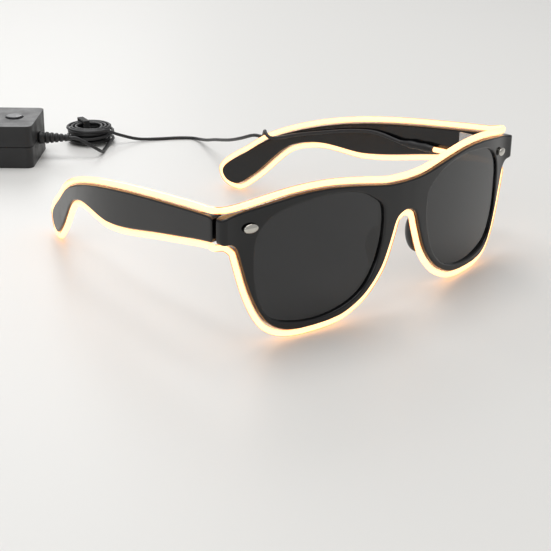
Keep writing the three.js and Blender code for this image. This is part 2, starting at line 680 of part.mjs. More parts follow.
// Lower shell: tray, partition, ledges for the board and bosses that the case screws pass through
const boss_y = inner_y - boss_inset;
const boss_xs = [room_low + boss_inset, room_high - boss_inset];
const boss_places = boss_xs.flatMap((x) => [[x, boss_y], [x, -boss_y]]);
const boot_hole = alongX(bar(boot_neck_d / 2 + seat_gap, room_high - overrun, half_length + overrun))
  .translate([0, 0, split_z]);
const screw_seat = seat_gap;
const screw_top = screw_seat + pack_screw_head_t + pack_screw_length;
const base_top = split_z - seat_gap / 2;
const rooted = pack_floor / 2;
let base = roundedBox(half_length, half_depth, pack_corner_r, 0, base_top)
  .subtract(block(bay_low, room_high, -inner_y, inner_y, pack_floor, pack_height))
  .add(block(bay_high, room_low, seat_gap - inner_y, inner_y - seat_gap, rooted, lid_low - 2 * seat_gap));
for (const side of [-1, 1]) {
  const y = side * ledge_y;
  base = base.add(block(room_low, room_high, y - ledge_t / 2, y + ledge_t / 2, rooted, board_z - seat_gap));
}
for (const [x, y] of boss_places) base = base.add(bar(boss_d / 2, rooted, base_top).translate([x, y, 0]));
for (const [x, y] of boss_places) {
  const recess = bar(pack_screw_head_d / 2 + seat_gap, -overrun, pack_screw_head_t + 2 * seat_gap);
  base = base.subtract(recess.add(bar(pack_screw_d / 2 + seat_gap, 0, pack_height)).translate([x, y, 0]));
}
inPack('pack_base', base.subtract(boot_hole), pack_plastic);

// Upper shell: roof over the board, and an open bay whose side walls are grooved for the door
const cover_low = split_z + seat_gap / 2;
const button_x = half_length - button_from_end;
const open_low = -half_length - overrun;
const open_high = door_end + seat_gap;
let cover = roundedBox(half_length, half_depth, pack_corner_r, cover_low, pack_height)
  .subtract(block(bay_low, room_high, -inner_y, inner_y, 0, roof_low))
  .subtract(block(open_low, open_high, -inner_y, inner_y, groove_low, pack_height + overrun));
const groove_y = inner_y + door_tongue;
cover = cover.subtract(block(open_low, open_high, -groove_y, groove_y,
  groove_low, lid_low + door_tongue_t + seat_gap));
for (const [x, y] of boss_places) {
  const post = bar(cover_boss_d / 2, cover_low, pack_height - pack_floor / 2);
  cover = cover.add(post.translate([x, y, 0]))
    .subtract(bar(pack_screw_d / 2 + seat_gap, 0, screw_top + seat_gap).translate([x, y, 0]));
}
const button_hole = bar(button_d / 2 + seat_gap, split_z, pack_height + overrun, round_sides);
cover = cover.subtract(boot_hole).subtract(button_hole.translate([button_x, 0, 0]));
inPack('pack_cover', cover, pack_plastic);

boss_places.forEach(([x, y], i) => {
  const under_head = screw_seat + pack_screw_head_t;
  const screw = turned([
    [0, screw_seat], [pack_screw_head_d / 2, screw_seat],
    [pack_screw_head_d / 2, under_head], [pack_screw_d / 2, under_head],
    [pack_screw_d / 2, screw_top - pack_screw_d / 2], [0, screw_top],
  ], bore_sides).translate([x, y, 0]);
  inPack(`case_screw_${i + 1}`, screw, steel);
});

// Sliding door over the cells, with a tongue along each side and finger grooves at its outer end
const door_y = inner_y - seat_gap;
const tongue_y = door_y + door_tongue;
let door = block(-half_length, door_end, -door_y, door_y, lid_low, pack_height)
  .add(block(-half_length, door_end, -tongue_y, tongue_y, lid_low, lid_low + door_tongue_t))
  .intersect(roundedBox(half_length, half_depth, pack_corner_r, lid_low, pack_height));
for (let i = 0; i < door_ribs; i += 1) {
  const x = door_rib_inset - half_length + i * door_rib_pitch;
  door = door.subtract(block(x, x + door_rib_width, -door_rib_length / 2, door_rib_length / 2,
    pack_height - door_rib_depth, pack_height + overrun));
}
inPack('battery_door', door, pack_plastic);

// Cells, lying opposite ways, and the sheet contacts and springs at their ends
const cell_z = pack_floor + seat_gap + cell_d / 2;
const cell_low = bay_low + contact_t + 2 * seat_gap;
const cell = alongX(turned([
  [0, 0], [cell_d / 2, 0], [cell_d / 2, cell_length - cell_nub], [cell_nub_d / 2, cell_length - cell_nub],
  [cell_nub_d / 2, cell_length], [0, cell_length],
], round_sides));
const cell_y = cell_pitch / 2;
inPack('cell_1', cell.translate([cell_low + spring_length + seat_gap, -cell_y, cell_z]), cell_wrap);
inPack('cell_2', cell.rotate([0, 0, 180]).translate([cell_low + cell_length, cell_y, cell_z]), cell_wrap);

function sheetContact(name, x, y, width) {
  const sheet = block(x, x + contact_t, y - width / 2, y + width / 2,
    cell_z - contact_height / 2, cell_z + contact_height / 2);
  inPack(name, sheet, nickel);
}
sheetContact('contact_bridge', bay_low + seat_gap, 0, cell_pitch + contact_width);
sheetContact('contact_plate_1', bay_high - seat_gap - contact_t, -cell_y, contact_width);
sheetContact('contact_plate_2', bay_high - seat_gap - contact_t, cell_y, contact_width);

function cellSpring(name, from, way, y) {
  const steps = spring_turns * spring_steps;
  const points = Array.from({ length: steps + 1 }, (_, i) => {
    const share = i / steps;
    const turn = share * spring_turns * Math.PI * 2;
    const r = THREE.MathUtils.lerp(spring_wide_r, spring_narrow_r, share);
    const rise = spring_wire_d / 2 + share * (spring_length - spring_wire_d);
    return V(from + way * rise, y + r * Math.cos(turn), cell_z + way * r * Math.sin(turn));
  });
  inPack(name, tube(points, spring_wire_d / 2, spring_sides), nickel);
}
cellSpring('spring_contact_1', cell_low, 1, -cell_y);
cellSpring('spring_contact_2', bay_high - contact_t - 2 * seat_gap, -1, cell_y);

// Inverter board with its parts, and the switch under the button
const board_x = (room_low + room_high) / 2;
const board_y = boss_y - boss_d / 2 - seat_gap;
const board_half = board_room / 2 - 4 * seat_gap;
const seat_z = board_z + board_t + seat_gap;
inPack('inverter_board', block(board_x - board_half, board_x + board_half, -board_y, board_y,
  board_z, board_z + board_t), board_green);

const switch_half = switch_side / 2;
const button_low = roof_low - seat_gap - button_flange_t;
const stem_top = button_low - button_travel - seat_gap;
const tact = block(button_x - switch_half, button_x + switch_half, -switch_half, switch_half,
  seat_z, seat_z + switch_height)
  .add(bar(switch_stem_d / 2, seat_z + switch_height / 2, stem_top).translate([button_x, 0, 0]));
inPack('tact_switch', tact, epoxy);
inPack('mode_button', turned([
  [0, button_low], [button_flange_d / 2, button_low], [button_flange_d / 2, button_low + button_flange_t],
  [button_d / 2, button_low + button_flange_t], [button_d / 2, pack_height + button_proud / 2],
  [button_d / 2 - button_proud / 2, pack_height + button_proud], [0, pack_height + button_proud],
]).translate([button_x, 0, 0]), plastic(0x26272a, 0.4));

const core_x = room_low + core_from_wall;
const window_y = core_length / 2 - core_leg;
const window_low = seat_z + core_yoke;
const window_high = seat_z + core_height - core_yoke;
const middle_y = core_middle_leg / 2;
const through_low = core_x - core_depth;
const through_high = core_x + core_depth;
const core_window = block(through_low, through_high, -window_y, window_y, window_low, window_high)
  .subtract(block(through_low, through_high, -middle_y, middle_y, 0, pack_height));
const core = block(core_x - core_depth / 2, core_x + core_depth / 2, -core_length / 2, core_length / 2,
  seat_z, seat_z + core_height).subtract(core_window);
inPack('transformer_core', core, ferrite);
const winding_y = window_y - seat_gap;
const winding_t = winding_y - middle_y - seat_gap;
const winding_x = core_depth / 2 + seat_gap + winding_t;
const winding = block(core_x - winding_x, core_x + winding_x, -winding_y, winding_y,
  window_low + seat_gap, window_high - seat_gap)
  .subtract(block(core_x - winding_x + winding_t, core_x + winding_x - winding_t,
    winding_t - winding_y, winding_y - winding_t, 0, pack_height));
inPack('transformer_winding', winding, copper);

const film_x = room_high - 2 * seat_gap - boot_flange_t - film_depth / 2;
inPack('film_capacitor', block(film_x - film_depth / 2, film_x + film_depth / 2,
  -film_length / 2, film_length / 2, seat_z, seat_z + film_height), film_red);
const part_y = switch_half + can_d / 2 + 3 * seat_gap;
const can = bar(can_d / 2, seat_z, seat_z + can_height).translate([button_x, part_y, 0]);
inPack('electrolytic_capacitor', can, can_blue);
const transistor = bar(transistor_d / 2, seat_z, seat_z + transistor_height)
  .subtract(block(-transistor_d, transistor_d, -transistor_d, -transistor_flat, 0, pack_height))
  .translate([button_x, -part_y, 0]);
inPack('driver_transistor', transistor, epoxy);

// Strain relief: a flange inside the wall, a neck through it and a tapering boot outside
const flange_high = room_high - seat_gap;
const boot_low = half_length + seat_gap;
const boot_tip = boot_low + boot_length;
const boot_profile = [
  [0, flange_high - boot_flange_t], [boot_flange_d / 2, flange_high - boot_flange_t],
  [boot_flange_d / 2, flange_high], [boot_neck_d / 2, flange_high], [boot_neck_d / 2, boot_low],
  [boot_d / 2, boot_low], [boot_d / 2, boot_low + boot_flange_t], [boot_tip_d / 2, boot_tip], [0, boot_tip],
];
const boot_bore = bar(lead_r + glue_gap, boot_tip - boot_hold - seat_gap, boot_tip + overrun);
const boot = turned(boot_profile).subtract(boot_bore);
inPack('strain_relief', alongX(boot).translate([0, 0, split_z]), lead_pvc);

// The pack stands turned on the table, by its near corner
const turn = degrees(pack_turn_deg);
const corner_at = V(half_length, -half_depth, 0).applyAxisAngle(V(0, 0, 1), turn);
pack.rotation.z = turn;
pack.position.set(pack_near_corner[0] - corner_at.x, pack_near_corner[1] - corner_at.y, 0);
pack.updateMatrix();
const boot_way = V(-1, 0, 0).applyAxisAngle(V(0, 0, 1), turn);
const lead_end = V(boot_tip - boot_hold, 0, split_z).applyMatrix4(pack.matrix);
const boot_mouth = V(boot_tip + lead_d, 0, split_z).applyMatrix4(pack.matrix);

// Coil of spare lead: it winds in and out once a layer, and drops a layer at each turning point
const coil_turns = coil_whole_turns + (360 + coil_start_deg - coil_end_deg) / 360;
const layer_turns = coil_turns / coil_layers;
const coil_low = tie_t + seat_gap + lead_r;
const coil_inner_r = coil_outer_r - coil_pitch * layer_turns;
const climb = (share) => THREE.MathUtils.smoothstep(share, 0, 1);

function coilPoint(turns) {
  const phase = (turns / layer_turns) % 2;
  const inward = phase < 1 ? phase : 2 - phase;
  const r = THREE.MathUtils.lerp(coil_outer_r, coil_inner_r, inward);
  const angle = degrees(coil_start_deg) - turns * Math.PI * 2;
  let dropped = 0;
  for (let layer = 1; layer < coil_layers; layer += 1) {
    dropped += climb((turns - layer * layer_turns) / coil_climb_turns + 0.5);
  }
  const z = coil_low + coil_pitch * (coil_layers - 1 - dropped);
  return V(coil_centre[0] + r * Math.cos(angle), coil_centre[1] + r * Math.sin(angle), z);
}

const coil_count = Math.round(coil_turns * coil_steps);
const coil_line = Array.from({ length: coil_count + 1 }, (_, i) => coilPoint((i / coil_count) * coil_turns));
const wayAt = (deg) => V(Math.sin(degrees(deg)), -Math.cos(degrees(deg)), 0);
const coil_in = coil_line[0].clone().addScaledVector(wayAt(coil_start_deg), -lead_d);
const coil_out = coil_line.at(-1).clone().addScaledVector(wayAt(coil_end_deg), lead_d);
const coil_path = [coil_in, ...coil_line, coil_out];

// The lead from the arm to the coil and from the coil to the boot, straight for a little at each end
function freeLead(from, from_way, between, to, to_way) {
  return curved([
    from, from.clone().addScaledVector(from_way, lead_d),
    ...between.map((p) => V(...p)),
    to.clone().addScaledVector(to_way, -lead_d), to,
  ], steps_per_point + 1);
}
const lead_exit = lead_line.at(-1);
const exit_way = lead_exit.clone().sub(lead_line.at(-2)).normalize();
const to_coil = freeLead(lead_exit, exit_way, lead_drop, coil_in, wayAt(coil_start_deg));
const to_boot = [...freeLead(coil_out, wayAt(coil_end_deg), lead_to_boot, boot_mouth, boot_way), lead_end];
const addCord = (name, geometry, material) => cord_names.push(add(name, geometry, material).name);
addCord('lead_to_coil', tube(trimmed(to_coil, 0, seat_gap), lead_r), lead_pvc);
addCord('lead_coil', tube(coil_path, lead_r, coil_sides), lead_pvc);
addCord('lead_to_pack', tube(trimmed(to_boot, seat_gap, 0), lead_r), lead_pvc);

// A wrapped tie round the coil's far side
const band_room = lead_r + seat_gap;
const band_low = coil_inner_r - band_room;
const band_high = coil_outer_r + band_room;
const band_top = coil_low + coil_pitch * (coil_layers - 1) + band_room;
const band = block(band_low - tie_t, band_high + tie_t, -tie_width / 2, tie_width / 2, 0, band_top + tie_t)
  .subtract(block(band_low, band_high, -tie_width, tie_width, tie_t, band_top))
  .rotate([0, 0, tie_deg]).translate([...coil_centre, 0]);
addCord('coil_tie', band, shrink);

// Least air between the coil's own turns, and the length of lead that is free to bend
function leastSelfGap(points) {
  const near = Math.round(coil_steps / 2);
  const spot = new THREE.Vector3();
  let least = Infinity;
  points.forEach((p, i) => {
    for (let j = i + near; j < points.length - 1; j += 1) {
      new THREE.Line3(points[j], points[j + 1]).closestPointToPoint(p, true, spot);
      least = Math.min(least, p.distanceTo(spot) - lead_d);
    }
  });
  return least;
}
const free_length = lengthOf(to_coil) + lengthOf(coil_path) + lengthOf(to_boot);
console.log(`coil self-gap ${leastSelfGap(coil_path).toFixed(2)} mm`);
console.log(`free lead ${free_length.toFixed(0)} mm, of it ${lengthOf(coil_path).toFixed(0)} mm in the coil`);

// The origin goes under the middle of everything that isn't cord
model.updateMatrixWorld(true);
const bounds = new THREE.Box3();
model.traverse((node) => {
  if (node.isMesh && !cord_names.includes(node.name)) bounds.expandByObject(node, true);
});
const middle = bounds.getCenter(new THREE.Vector3());
const shift = V(-middle.x, -middle.y, -bounds.min.z);
glasses.position.add(shift);
pack.position.add(shift);
console.log(`shift ${shift.toArray().map((v) => v.toFixed(3)).join(' ')} mm`);

export default model;
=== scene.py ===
import json
import math

import bmesh
import bpy
import numpy as np
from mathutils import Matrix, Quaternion, Vector
from mathutils.bvhtree import BVHTree


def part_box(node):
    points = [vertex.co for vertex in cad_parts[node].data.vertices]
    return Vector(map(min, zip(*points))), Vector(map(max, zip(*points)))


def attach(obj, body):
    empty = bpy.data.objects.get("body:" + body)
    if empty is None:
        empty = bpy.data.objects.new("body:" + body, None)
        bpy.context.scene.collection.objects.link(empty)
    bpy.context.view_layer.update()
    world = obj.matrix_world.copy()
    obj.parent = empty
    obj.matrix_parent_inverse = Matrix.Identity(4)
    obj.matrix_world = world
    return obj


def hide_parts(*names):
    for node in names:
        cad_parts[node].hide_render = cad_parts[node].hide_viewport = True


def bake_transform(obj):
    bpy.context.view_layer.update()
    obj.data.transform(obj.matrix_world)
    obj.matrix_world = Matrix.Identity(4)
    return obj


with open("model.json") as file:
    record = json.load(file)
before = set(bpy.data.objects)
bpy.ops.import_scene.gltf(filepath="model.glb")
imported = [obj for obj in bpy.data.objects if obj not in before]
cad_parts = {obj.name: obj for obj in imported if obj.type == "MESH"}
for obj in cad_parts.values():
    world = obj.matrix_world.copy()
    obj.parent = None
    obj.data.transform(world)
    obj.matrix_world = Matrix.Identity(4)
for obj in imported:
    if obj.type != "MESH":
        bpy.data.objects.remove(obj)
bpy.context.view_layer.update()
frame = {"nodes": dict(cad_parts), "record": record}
nodes = frame["nodes"]
scene = bpy.context.scene
MM = 0.001

# Camera: a short telephoto from the front and to the wearer's right, at seated eye height over
# the table, turned a trace clockwise as the photograph is.
camera_azimuth = math.radians(-44.465)
camera_elevation = math.radians(21.53)
camera_roll = math.radians(0.63)
camera_distance = 388.4 * MM
camera_target = Vector((-50.3, -140.5, 20.66)) * MM
photo_side_px = 551
focal_px = 1235.55

camera_data = bpy.data.cameras.new("camera")
camera_data.sensor_width = 36.0
camera_data.lens = focal_px / photo_side_px * camera_data.sensor_width
camera_data.clip_start = 0.01
camera_data.clip_end = 20.0
camera = bpy.data.objects.new("camera", camera_data)
scene.collection.objects.link(camera)
scene.camera = camera
camera_back = Vector((
    math.sin(camera_azimuth) * math.cos(camera_elevation),
    -math.cos(camera_azimuth) * math.cos(camera_elevation),
    math.sin(camera_elevation),
))
camera.location = camera_target + camera_back * camera_distance
camera.rotation_mode = "QUATERNION"
level = (-camera_back).to_track_quat("-Z", "Y")
camera.rotation_quaternion = level @ Quaternion((0, 0, 1), camera_roll)

# The free lead is a thin two-core cord sheathed in black PVC. It comes off the left arm, drops to
# the table, is wound into a coil where it is to spare, and goes on into the battery pack's boot.
lead_d = 1.5 * MM
seat_gap = 0.3 * MM
lead_sides = 12
on_table = 0.8
lead_drop = [(54, 119, 23.2), (57, 130, 19.2), (61.2, 141, 15.4), (66.8, 153, 11.8),
             (73, 166, 8.2), (79.5, 180, 4), (84, 190, 1.6), (84.8, 196, on_table),
             (80, 201, on_table), (71, 206.5, on_table), (62, 211, 1.5), (53, 214.2, 4.6)]
lead_to_boot = [(46.3, 214.2, 1.3), (41, 209.8, on_table), (35.5, 204.9, 1.4), (30, 202.4, 4.6)]
coil_centre = (45, 227)
coil_outer_r = 11.4
coil_pitch = 1.95
coil_layers = 4
coil_low = 1.85
coil_start = math.radians(-100)
coil_end = math.radians(-60)
coil_whole_turns = 11
coil_turns = coil_whole_turns + (math.tau + coil_start - coil_end) / math.tau
coil_steps = 20
coil_climb_turns = 0.5
lead_spans = 4
boot_tip_reach = 56.6 * MM
boot_hold = 4 * MM
pack_mid_z = 9.75 * MM
pack_turn = math.radians(-44.3)
pack_centre = Vector(frame["record"]["mounts"][0]["pos_m"])
pack_way = Vector((math.cos(pack_turn), math.sin(pack_turn), 0))
from_front = Vector((0, -139.079, 0))


def in_row(point):
    """A point of the part's own drawing, in millimetres, in the row frame in metres."""
    return (Vector(point) + from_front) * MM


def curved(points, per_span):
    """Points on a smooth centripetal line through the given ones."""
    ends = [2 * points[0] - points[1], *points, 2 * points[-1] - points[-2]]
    found = [points[0]]
    for before, start, stop, after in zip(ends, ends[1:], ends[2:], ends[3:]):
        gaps = [math.sqrt((b - a).length) for a, b in ((before, start), (start, stop), (stop, after))]
        leave = (start - before) / gaps[0] - (stop - before) / (gaps[0] + gaps[1]) + (stop - start) / gaps[1]
        meet = (stop - start) / gaps[1] - (after - start) / (gaps[1] + gaps[2]) + (after - stop) / gaps[2]
        for step in range(1, per_span + 1):
            t = step / per_span
            bend = leave * gaps[1] * t * (1 - t) ** 2 - meet * gaps[1] * t * t * (1 - t)
            found.append(start * (1 - t) ** 2 * (1 + 2 * t) + stop * t * t * (3 - 2 * t) + bend)
    return found


measure_weld = 0.002 * MM
cap_play = 0.02 * MM
flat_angle = 0.01


def merged(node):
    """A welded copy of a CAD node's mesh, to measure."""
    copy = bmesh.new()
    copy.from_mesh(nodes[node].data)
    bmesh.ops.remove_doubles(copy, verts=copy.verts, dist=measure_weld)
    copy.normal_update()
    copy.edges.index_update()
    return copy


def centreline(node, sides=8):
    """The middle of each ring of a CAD tube, from one end cap to the other."""
    tube = merged(node)
    plain = tube.copy()
    bmesh.ops.dissolve_limit(plain, angle_limit=flat_angle, verts=[], edges=plain.edges[:], delimit=set())
    for cap in plain.faces:
        middle = cap.calc_center_median()
        reach = [(vert.co - middle).length for vert in cap.verts]
        if len(reach) == sides and max(reach) - min(reach) < cap_play:
            break
    ring = {min(tube.verts, key=lambda v: (v.co - vert.co).length_squared) for vert in cap.verts}
    seen = set(ring)
    centres = []
    while ring:
        centres.append(Vector([math.fsum(vert.co[k] for vert in ring) / len(ring) for k in range(3)]))
        ring = {edge.other_vert(vert) for vert in ring for edge in vert.link_edges} - seen
        seen |= ring
    return centres


def linear(colour):
    """An sRGB hex colour as the linear RGBA that the shaders take."""
    shares = [int(colour[i:i + 2], 16) / 255 for i in (1, 3, 5)]
    return (*[s / 12.92 if s <= 0.04045 else ((s + 0.055) / 1.055) ** 2.4 for s in shares], 1)


def add_node(tree, kind, settings=None, links=None):
    """A node with its settings and links; a key is a property, an input's name or its number."""
    node = tree.nodes.new(kind)
    for key, value in (settings or {}).items():
        if isinstance(key, int) or key in node.inputs:
            node.inputs[key].default_value = value
        else:
            setattr(node, key, value)
    for key, source in (links or {}).items():
        tree.links.new(source, node.inputs[key])
    return node


def new_tree(name, inputs):
    """An empty Geometry Nodes tree with a geometry in and out and named inputs for its sizes."""
    tree = bpy.data.node_groups.new(name, "GeometryNodeTree")
    tree.interface.new_socket("Geometry", in_out="INPUT", socket_type="NodeSocketGeometry")
    tree.interface.new_socket("Geometry", in_out="OUTPUT", socket_type="NodeSocketGeometry")
    for label, kind in inputs:
        tree.interface.new_socket(label, in_out="INPUT", socket_type="NodeSocket" + kind)
    return tree


def grown(name, data, tree, **values):
    """The mesh that a Geometry Nodes tree makes of a mesh or curve."""
    seed = bpy.data.objects.new(name, data)
    scene.collection.objects.link(seed)
    modifier = seed.modifiers.new(name, "NODES")
    modifier.node_group = tree
    for item in tree.interface.items_tree:
        if item.in_out == "INPUT" and item.name in values:
            modifier[item.identifier] = values[item.name]
    mesh = bpy.data.meshes.new_from_object(seed.evaluated_get(bpy.context.evaluated_depsgraph_get()))
    mesh.name = name
    bpy.data.objects.remove(seed)
    return mesh


def piece(name, mesh, body=None):
    """A finished mesh as a piece of the object, on the body it rides on."""
    obj = bpy.data.objects.new(name, mesh)
    scene.collection.objects.link(obj)
    if body:
        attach(obj, body)
    return obj


round_sweep = new_tree("round_sweep", [("Radius", "Float"), ("Sides", "Int"), ("Closed ends", "Bool"),
                                       ("Finish", "Material")])
sweep_in = add_node(round_sweep, "NodeGroupInput").outputs
thickness = add_node(round_sweep, "GeometryNodeInputRadius").outputs[0]
ring = add_node(round_sweep, "GeometryNodeCurvePrimitiveCircle", None,
                {"Resolution": sweep_in["Sides"], "Radius": sweep_in["Radius"]})
swept = add_node(round_sweep, "GeometryNodeCurveToMesh", None,
                 {"Curve": sweep_in["Geometry"], "Profile Curve": ring.outputs[0], "Scale": thickness,
                  "Fill Caps": sweep_in["Closed ends"]})
rounded = add_node(round_sweep, "GeometryNodeSetShadeSmooth", None, {"Geometry": swept.outputs[0]})
whole = add_node(round_sweep, "GeometryNodeRealizeInstances", None, {"Geometry": rounded.outputs[0]})
coated = add_node(round_sweep, "GeometryNodeSetMaterial", None,
                  {"Geometry": whole.outputs[0], "Material": sweep_in["Finish"]})
add_node(round_sweep, "NodeGroupOutput", None, {"Geometry": coated.outputs[0]})


def sweep(name, lines, radius, sides, finish, swell=None, closed=True):
    """Round tubes along lines of points; swell gives each line's points their shares of the radius."""
    route = bpy.data.curves.new(name, "CURVE")
    route.dimensions = "3D"
    for number, line in enumerate(lines):
        spline = route.splines.new("POLY")
        spline.points.add(len(line) - 1)
        for i, point in enumerate(line):
            spline.points[i].co = (*point, 1)
            spline.points[i].radius = swell[number][i] if swell else 1
    return grown(name, route, round_sweep, **{
        "Radius": radius, "Sides": sides, "Finish": finish, "Closed ends": closed})


def new_material(name):
    """A bare material: its node tree, with the object's own coordinates, and its output node."""
    made = bpy.data.materials.new(name)
    made.use_nodes = True
    made.node_tree.nodes.clear()
    place = add_node(made.node_tree, "ShaderNodeTexCoord").outputs["Object"]
    return made, made.node_tree, place, add_node(made.node_tree, "ShaderNodeOutputMaterial")


# Extruded soft PVC: dark, satin, and a little uneven along its length as such thin cord is.
lead_pvc, tree, place, output = new_material("extruded_black_pvc")
drag = add_node(tree, "ShaderNodeTexNoise", {"Scale": 1 / (0.9 * MM), "Detail": 3.0}, {"Vector": place})
handled = add_node(tree, "ShaderNodeMapRange", {"To Min": 0.34, "To Max": 0.52}, {"Value": drag.outputs[0]})
uneven = add_node(tree, "ShaderNodeBump", {"Strength": 0.25, "Distance": 0.05 * MM},
                  {"Height": drag.outputs[0]})
shader = add_node(tree, "ShaderNodeBsdfPrincipled", {"Base Color": linear("#161618"), "IOR": 1.53},
                  {"Roughness": handled.outputs[0], "Normal": uneven.outputs[0]})
tree.links.new(shader.outputs[0], output.inputs["Surface"])

arm_lead = centreline("lead_on_temple")
lead_way = (arm_lead[-1] - arm_lead[-2]).normalized()
lead_exit = arm_lead[-1] + lead_way * seat_gap
layer_turns = coil_turns / coil_layers
coil_inner_r = coil_outer_r - coil_pitch * layer_turns


def coil_point(turns):
    """A point of the coil: it winds in and out once a layer, and drops a layer at each end."""
    phase = turns / layer_turns % 2
    inward = phase if phase < 1 else 2 - phase
    r = coil_outer_r + (coil_inner_r - coil_outer_r) * inward
    angle = coil_start - turns * math.tau
    dropped = 0
    for layer in range(1, coil_layers):
        share = min(max((turns - layer * layer_turns) / coil_climb_turns + 0.5, 0), 1)
        dropped += share * share * (3 - 2 * share)
    height = coil_low + coil_pitch * (coil_layers - 1 - dropped)
    return in_row((coil_centre[0] + r * math.cos(angle), coil_centre[1] + r * math.sin(angle), height))


def way_at(angle):
    return Vector((math.sin(angle), -math.cos(angle), 0))


coil_count = round(coil_turns * coil_steps)
coil_line = [coil_point(i / coil_count * coil_turns) for i in range(coil_count + 1)]
coil_in = coil_line[0] - way_at(coil_start) * lead_d
coil_out = coil_line[-1] + way_at(coil_end) * lead_d
boot_mouth = pack_centre + pack_way * (boot_tip_reach + lead_d) + Vector((0, 0, pack_mid_z))
lead_end = boot_mouth - pack_way * (lead_d + boot_hold)
to_coil = curved([lead_exit, lead_exit + lead_way * lead_d, *map(in_row, lead_drop),
                  coil_in - way_at(coil_start) * lead_d, coil_in], lead_spans)
to_boot = curved([coil_out, coil_out + way_at(coil_end) * lead_d, *map(in_row, lead_to_boot),
                  boot_mouth + pack_way * lead_d, boot_mouth], lead_spans)
lead_path = [*to_coil, *coil_line, *to_boot, lead_end]

free_lead = piece("free_lead", sweep("free_lead", [lead_path], lead_d / 2, lead_sides, lead_pvc))
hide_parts("lead_to_coil", "lead_coil", "lead_to_pack")
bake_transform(free_lead)

# The tie round the coil is a strip of black hook-and-loop tape, wrapped once round all the turns
# and pressed onto itself, so its edges are soft and its face is a fine matted pile.
tape_weave_mm = 0.35
tie_edge = 0.35 * MM
dress_weld = 0.004 * MM
sharp_above = math.radians(32)
weld_tree = new_tree("welded_smooth", [("Nearer than", "Float"), ("Finish", "Material")])
weld_in = add_node(weld_tree, "NodeGroupInput").outputs
joined = add_node(weld_tree, "GeometryNodeMergeByDistance", None,
                  {"Geometry": weld_in["Geometry"], "Distance": weld_in["Nearer than"]})
smooth = add_node(weld_tree, "GeometryNodeSetShadeSmooth", None, {"Geometry": joined.outputs[0]})
one_mesh = add_node(weld_tree, "GeometryNodeRealizeInstances", None, {"Geometry": smooth.outputs[0]})
finished = add_node(weld_tree, "GeometryNodeSetMaterial", None,
                    {"Geometry": one_mesh.outputs[0], "Material": weld_in["Finish"]})
add_node(weld_tree, "NodeGroupOutput", None, {"Geometry": finished.outputs[0]})


def ease(obj, edge):
    """Soft edges of a radius, with flat faces that still shade flat."""
    if edge:
        bevel = obj.modifiers.new("eased_edges", "BEVEL")
        bevel.width = edge
        bevel.segments = 2
        bevel.limit_method = "ANGLE"
        bevel.angle_limit = sharp_above
    obj.modifiers.new("even_shading", "WEIGHTED_NORMAL").keep_sharp = True


def dress(node, finish, edge):
    """A CAD node kept as it is, with its finish, its loose triangles joined and its edges eased."""
    obj = nodes[node]
    obj.material_slots[0].material = finish
    weld = obj.modifiers.new("welded", "NODES")
    weld.node_group = weld_tree
    for item in weld_tree.interface.items_tree:
        if item.name == "Nearer than":
            weld[item.identifier] = dress_weld
        if item.name == "Finish":
            weld[item.identifier] = finish
    ease(obj, edge)


tie_tape, tree, place, output = new_material("hook_and_loop_tape")
pile = add_node(tree, "ShaderNodeTexVoronoi", {"Scale": 1 / (tape_weave_mm * MM)}, {"Vector": place})
tuft = add_node(tree, "ShaderNodeBump", {"Strength": 0.8, "Distance": 0.12 * MM}, {"Height": pile.outputs[0]})
shade = add_node(tree, "ShaderNodeValToRGB", None, {"Fac": pile.outputs[0]})
shade.color_ramp.elements[0].color = linear("#1E1E20")
shade.color_ramp.elements[1].color = linear("#0C0C0D")
shader = add_node(tree, "ShaderNodeBsdfPrincipled", {"Roughness": 0.85, "Sheen Weight": 0.3},
                  {"Base Color": shade.outputs[0], "Normal": tuft.outputs[0]})
tree.links.new(shader.outputs[0], output.inputs["Surface"])
dress("coil_tie", tie_tape, tie_edge)

# The front is one moulding of glossy black polycarbonate, bent to the face and rounded where it
# wraps to the arms. The runners of the mould leave it slightly wavy, and hands leave it smeared.
front_t = 4.0 * MM
moulded_edge = 0.6 * MM
end_round = 2.6 * MM
outline_step = 0.8 * MM
bend_step = 2.0 * MM
line_degree = 7
wrap_clear = 1.05
wrap_cuts_deg = (12, 24, 36, 48, 60, 72)
plate_weld = 0.005 * MM
cut_play = 0.001 * MM


def outer_face(node, axis, side, least):
    """The loops and points of the largest patch of a node's faces that look one way."""
    body = merged(node)
    facing = {face for face in body.faces if face.normal[axis] * side > least}
    best = set()
    while facing:
        patch = set()
        waiting = [facing.pop()]
        while waiting:
            face = waiting.pop()
            patch.add(face)
            near = {other for edge in face.edges for other in edge.link_faces} & facing
            facing -= near
            waiting += near
        if sum(f.calc_area() for f in patch) > sum(f.calc_area() for f in best):
            best = patch
    rim = {edge for face in best for edge in face.edges if len(best.intersection(edge.link_faces)) == 1}
    loops = []
    while rim:
        edge = min(rim, key=lambda e: e.index)
        rim.remove(edge)
        loop = [edge.verts[0], edge.verts[1]]
        while loop[-1] is not loop[0]:
            edge = next(e for e in loop[-1].link_edges if e in rim)
            rim.remove(edge)
            loop.append(edge.other_vert(loop[-1]))
        loops.append(np.array([vert.co for vert in loop[:-1]]))
    spots = np.array([vert.co for face in body.faces if face in best for vert in face.verts])
    return sorted(loops, key=lambda loop: -np.ptp(loop, axis=0).sum()), spots


def softened(loop, rounds=2):
    """A closed flat line with even short steps and its facets eased away."""
    closed = np.vstack([loop, loop[:1]])
    run = np.concatenate([[0], np.cumsum(np.linalg.norm(np.diff(closed, axis=0), axis=1))])
    count = int(run[-1] / outline_step)
    even = np.column_stack([np.interp(np.arange(count) * run[-1] / count, run, closed[:, k]) for k in (0, 1)])
    for _ in range(rounds):
        even = (np.roll(even, 1, axis=0) + 2 * even + np.roll(even, -1, axis=0)) / 4
    return even


